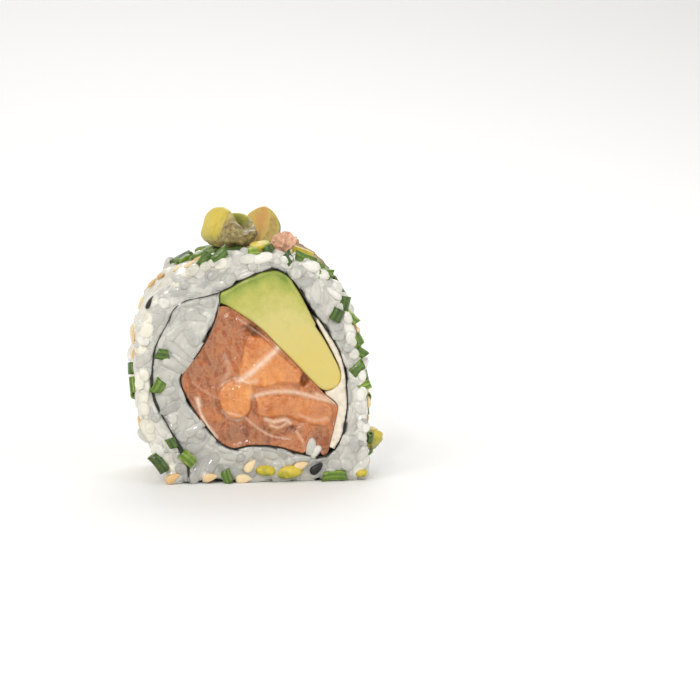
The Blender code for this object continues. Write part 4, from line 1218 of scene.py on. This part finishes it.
def cut_kernel():
    """A peaked kernel with a peach cut that looks up and to the front."""
    points, faces, _, centre = sculpted("pistachio_cut", 80, 60)
    values = no_values(points)
    bumps = rough(points, 3.0, 14.0)
    swell(points, centre, 0.05 * bumps)
    peak_height, peak_pull, peak_at = 4.2, 0.14, np.array([0.3, 0.6])
    peak = np.clip((points[:, 2] - centre[2]) / peak_height, 0, 1)
    points[:, :2] -= (points[:, :2] - centre[:2] - peak_at) * peak_pull * peak[:, None]
    cut, side = sliced(points, centre, (((-0.42, -0.62, 0.62), 1.2), ((0.50, -0.78, 0.36), 2.2)), soft=0.3)
    points += 0.06 * shaken(points, 1.1, (24.0, 25.0, 26.0))
    values["tone"] = 0.35 + 0.12 * (points[:, 2] - centre[2]) - 0.05 * (points[:, 0] - centre[0])
    ridge = np.clip((points[:, 0] - centre[0] + 3.0) / 3.0, 0, 1)
    beside = np.clip(side / 0.7, 0, 1) * (cut < 0.05)
    values["cut"] = np.clip(cut / 0.8, 0, 1) * (0.42 + 0.5 * ridge) + 0.7 * beside
    behind = hill(points[:, 0], points[:, 1], (5.4, 8.0), (2.6, 2.0))
    values["skin"] = np.clip(1.2 * behind + 0.3 * bumps, 0, 1) * (values["cut"] < 0.05) + 0.42 * beside
    return points, faces, values


def skinned_kernel():
    """A thin leaf of kernel in wrinkled brown skin, olive where the skin is rubbed off."""
    points, faces, round_points, _ = sculpted("pistachio_skinned", 72, 60, power=2.4)
    along, across = round_points[:, 0], round_points[:, 1]
    folds = np.sin(11 * across + 1.5 * np.sin(3 * along) + 1.2 * rough(points, 2.0, 15.0))
    points += 0.16 * folds[:, None] * round_points
    points += 0.35 * shaken(points, 2.0, (27.0, 28.0, 29.0))
    return points, faces, {"pink": np.clip(0.25 * folds + 0.7 * rough(points, 2.2, 16.0) + 0.1, 0, 1)}


def slice_kernel():
    """A pale slice with squared ends and a yellow-green rim."""
    points, faces, _, centre = sculpted("pistachio_slice", 64, 48, power=3.6)
    values = no_values(points)
    swell(points, centre, 0.05 * rough(points, 2.0, 17.0))
    cut, = sliced(points, centre, (((0.36, 0.0, 0.93), 0.55),), soft=0.2)
    values["tone"] = np.full(len(points), 0.6)
    values["cut"] = 0.55 * np.clip(cut / 0.25, 0, 1)
    return points, faces, values


def flake():
    """A crumpled scrap of papery skin."""
    points, faces, _, centre = sculpted("pistachio_skin", 64, 50)
    creases = 1 - 2.6 * np.abs(rough(points, 2.4, 18.0, 2))
    fine = 1 - 2.4 * np.abs(rough(points, 1.0, 19.0, 2))
    swell(points, centre, 0.32 * creases + 0.10 * fine - 0.2)
    narrow = np.clip(-0.4 * (points[:, 2] - centre[2]), 0, 1)
    points[:, 0] -= (points[:, 0] - centre[0] + 0.9) * 0.8 * narrow
    return points, faces, {"pink": np.clip(0.92 + 0.2 * creases, 0, 1)}


def chip():
    """The small yellow piece at the front, brown to the right."""
    points, faces, _, centre = sculpted("pistachio_chip", 48, 36, power=2.6)
    values = no_values(points)
    swell(points, centre, 0.14 * rough(points, 1.5, 20.0))
    sliced(points, centre, (((-0.1, -0.3, 0.9), 0.6),), soft=0.2)
    values["tone"] = 0.8 - 0.45 * np.clip((points[:, 0] - centre[0] + 0.2) / 1.6, 0, 1)
    values["skin"] = np.clip(2 * rough(points, 1.5, 21.0) - 0.5, 0, 1)
    return points, faces, values


def side_chip():
    """The piece at the right side, with skin low on it."""
    points, faces, _, centre = sculpted("pistachio_side", 48, 40, power=2.3)
    values = no_values(points)
    swell(points, centre, 0.18 * rough(points, 1.9, 22.0))
    values["tone"] = 0.55 + 0.14 * (points[:, 2] - centre[2])
    low = np.clip((centre[2] - 0.4 - points[:, 2]) * 0.8, 0, 1)
    values["skin"] = np.clip(low + rough(points, 1.2, 23.0) * 0.6, 0, 1)
    return points, faces, values


def make_nuts():
    """The kernels and scraps of skin, each in its node's place, and small crumbs at the foot of the front."""
    nut, skin = nut_material(), skin_material()
    for name, shape, material in (
        ("pistachio_open", open_kernel, nut), ("pistachio_cut", cut_kernel, nut),
        ("pistachio_skinned", skinned_kernel, skin), ("pistachio_slice", slice_kernel, nut),
        ("pistachio_skin", flake, skin), ("pistachio_chip", chip, nut), ("pistachio_side", side_chip, nut),
    ):
        points, faces, values = shape()
        slot = "pistachio_skin" if material is skin else "pistachio"
        piece(name + "_kernel", points, faces, material, name, slot, values)
    crumbs, tones = [], []
    for x, z, size, slope in (
        (2.6, 2.4, (4.0, 2.2, 2.2), -4), (7.4, 2.0, (5.2, 2.6, 2.6), 8), (22.0, 1.5, (2.4, 1.8, 1.6), 10),
    ):
        points, faces = ball(28, 22)
        points *= (1 + 0.09 * rough(points * 2 + x, 1.3, x))[:, None]
        turned, half, centre = placement((x, 0.1 - FACE, z), size, (0, 0, -slope))
        points = points * half @ turned.T + centre
        crumbs.append((points, faces))
        tones.append(0.55 + 0.25 * (points[:, 2] - z) + 0.35 * rough(points, 1.2, 31.0))
    points, faces = on_ground(crumbs)
    values = no_values(points) | {"tone": np.concatenate(tones)}
    piece("nut_crumbs", points, faces, nut, "rice", "pistachio", values)


# Stage


def make_stage():
    """A backdrop that curves up behind, all in metres, a soft sky and four lamps."""
    bend, floor_end, wall_top, half_width = 0.5, 0.6, 2.2, 2.5
    profile = [(-1.2, 0.0), (floor_end, 0.0)]
    for t in np.linspace(0.1, math.pi / 2, 14):
        profile.append((floor_end + bend * math.sin(t), bend - bend * math.cos(t)))
    profile.append((floor_end + bend, wall_top))
    points = [(x, y, z - 0.00002) for x in (-half_width, half_width) for y, z in profile]
    count = len(profile)
    mesh = bpy.data.meshes.new("backdrop")
    mesh.from_pydata(points, [], [(k, k + 1, count + k + 1, count + k) for k in range(count - 1)])
    mesh.polygons.foreach_set("use_smooth", [True] * len(mesh.polygons))
    mesh.materials.append(Shader("backdrop", 0.8, Base_Color=(0.95, 0.95, 0.945, 1)).material)
    put("backdrop", mesh)

    world = bpy.data.worlds.new("studio")
    world.use_nodes = True
    sky = world.node_tree.nodes["Background"]
    sky.inputs[0].default_value, sky.inputs[1].default_value = (1.0, 0.99, 0.97, 1), 0.63
    bpy.context.scene.world = world
    for name, place, size, power, colour in (
        ("key", (-0.45, -0.50, 0.62), 0.4, 1.8, (1, 0.98, 0.95)),
        ("fill", (0.60, -0.55, 0.35), 0.7, 1.4, (0.98, 0.99, 1)),
        ("rim", (0.10, 0.60, 0.60), 0.6, 2.4, (1, 1, 1)),
        ("glint", (-0.22, -0.75, 0.42), 0.07, 1.3, (1, 1, 1)),
    ):
        light = bpy.data.lights.new(name, "AREA")
        light.size, light.energy, light.color = size, power, colour
        look_from(put(name, light), Vector(place), Vector((0, 0, 0.025)))


def look_from(made, place, aim):
    """Sets a lamp or camera at a place and turns it to another."""
    made.location = place
    made.rotation_euler = (aim - made.location).to_track_quat("-Z", "Y").to_euler()


def make_camera():
    """The photograph's view: from a little left and above, with the roll left of the middle of the frame."""
    azimuth, elevation = math.radians(-4.5), math.radians(7.0)
    lens, sensor, view_width = 120.0, 36, 0.140
    back = Vector((
        math.sin(azimuth) * math.cos(elevation), -math.cos(azimuth) * math.cos(elevation), math.sin(elevation)
    ))
    data = bpy.data.cameras.new("camera")
    data.lens, data.clip_start, data.clip_end = lens, 0.01, 20
    camera = put("camera", data)
    distance = view_width * lens / sensor
    look_from(camera, Vector((0, -FACE, 23)) * MM + back * distance, Vector((19.6, -FACE, 26.6)) * MM)
    bpy.context.scene.camera = camera
    bpy.context.scene.view_settings.view_transform = "Standard"


make_stage()
make_camera()
make_salmon()
make_avocado()
make_cream()
make_nori()
make_rice()
make_toppings()
make_nuts()
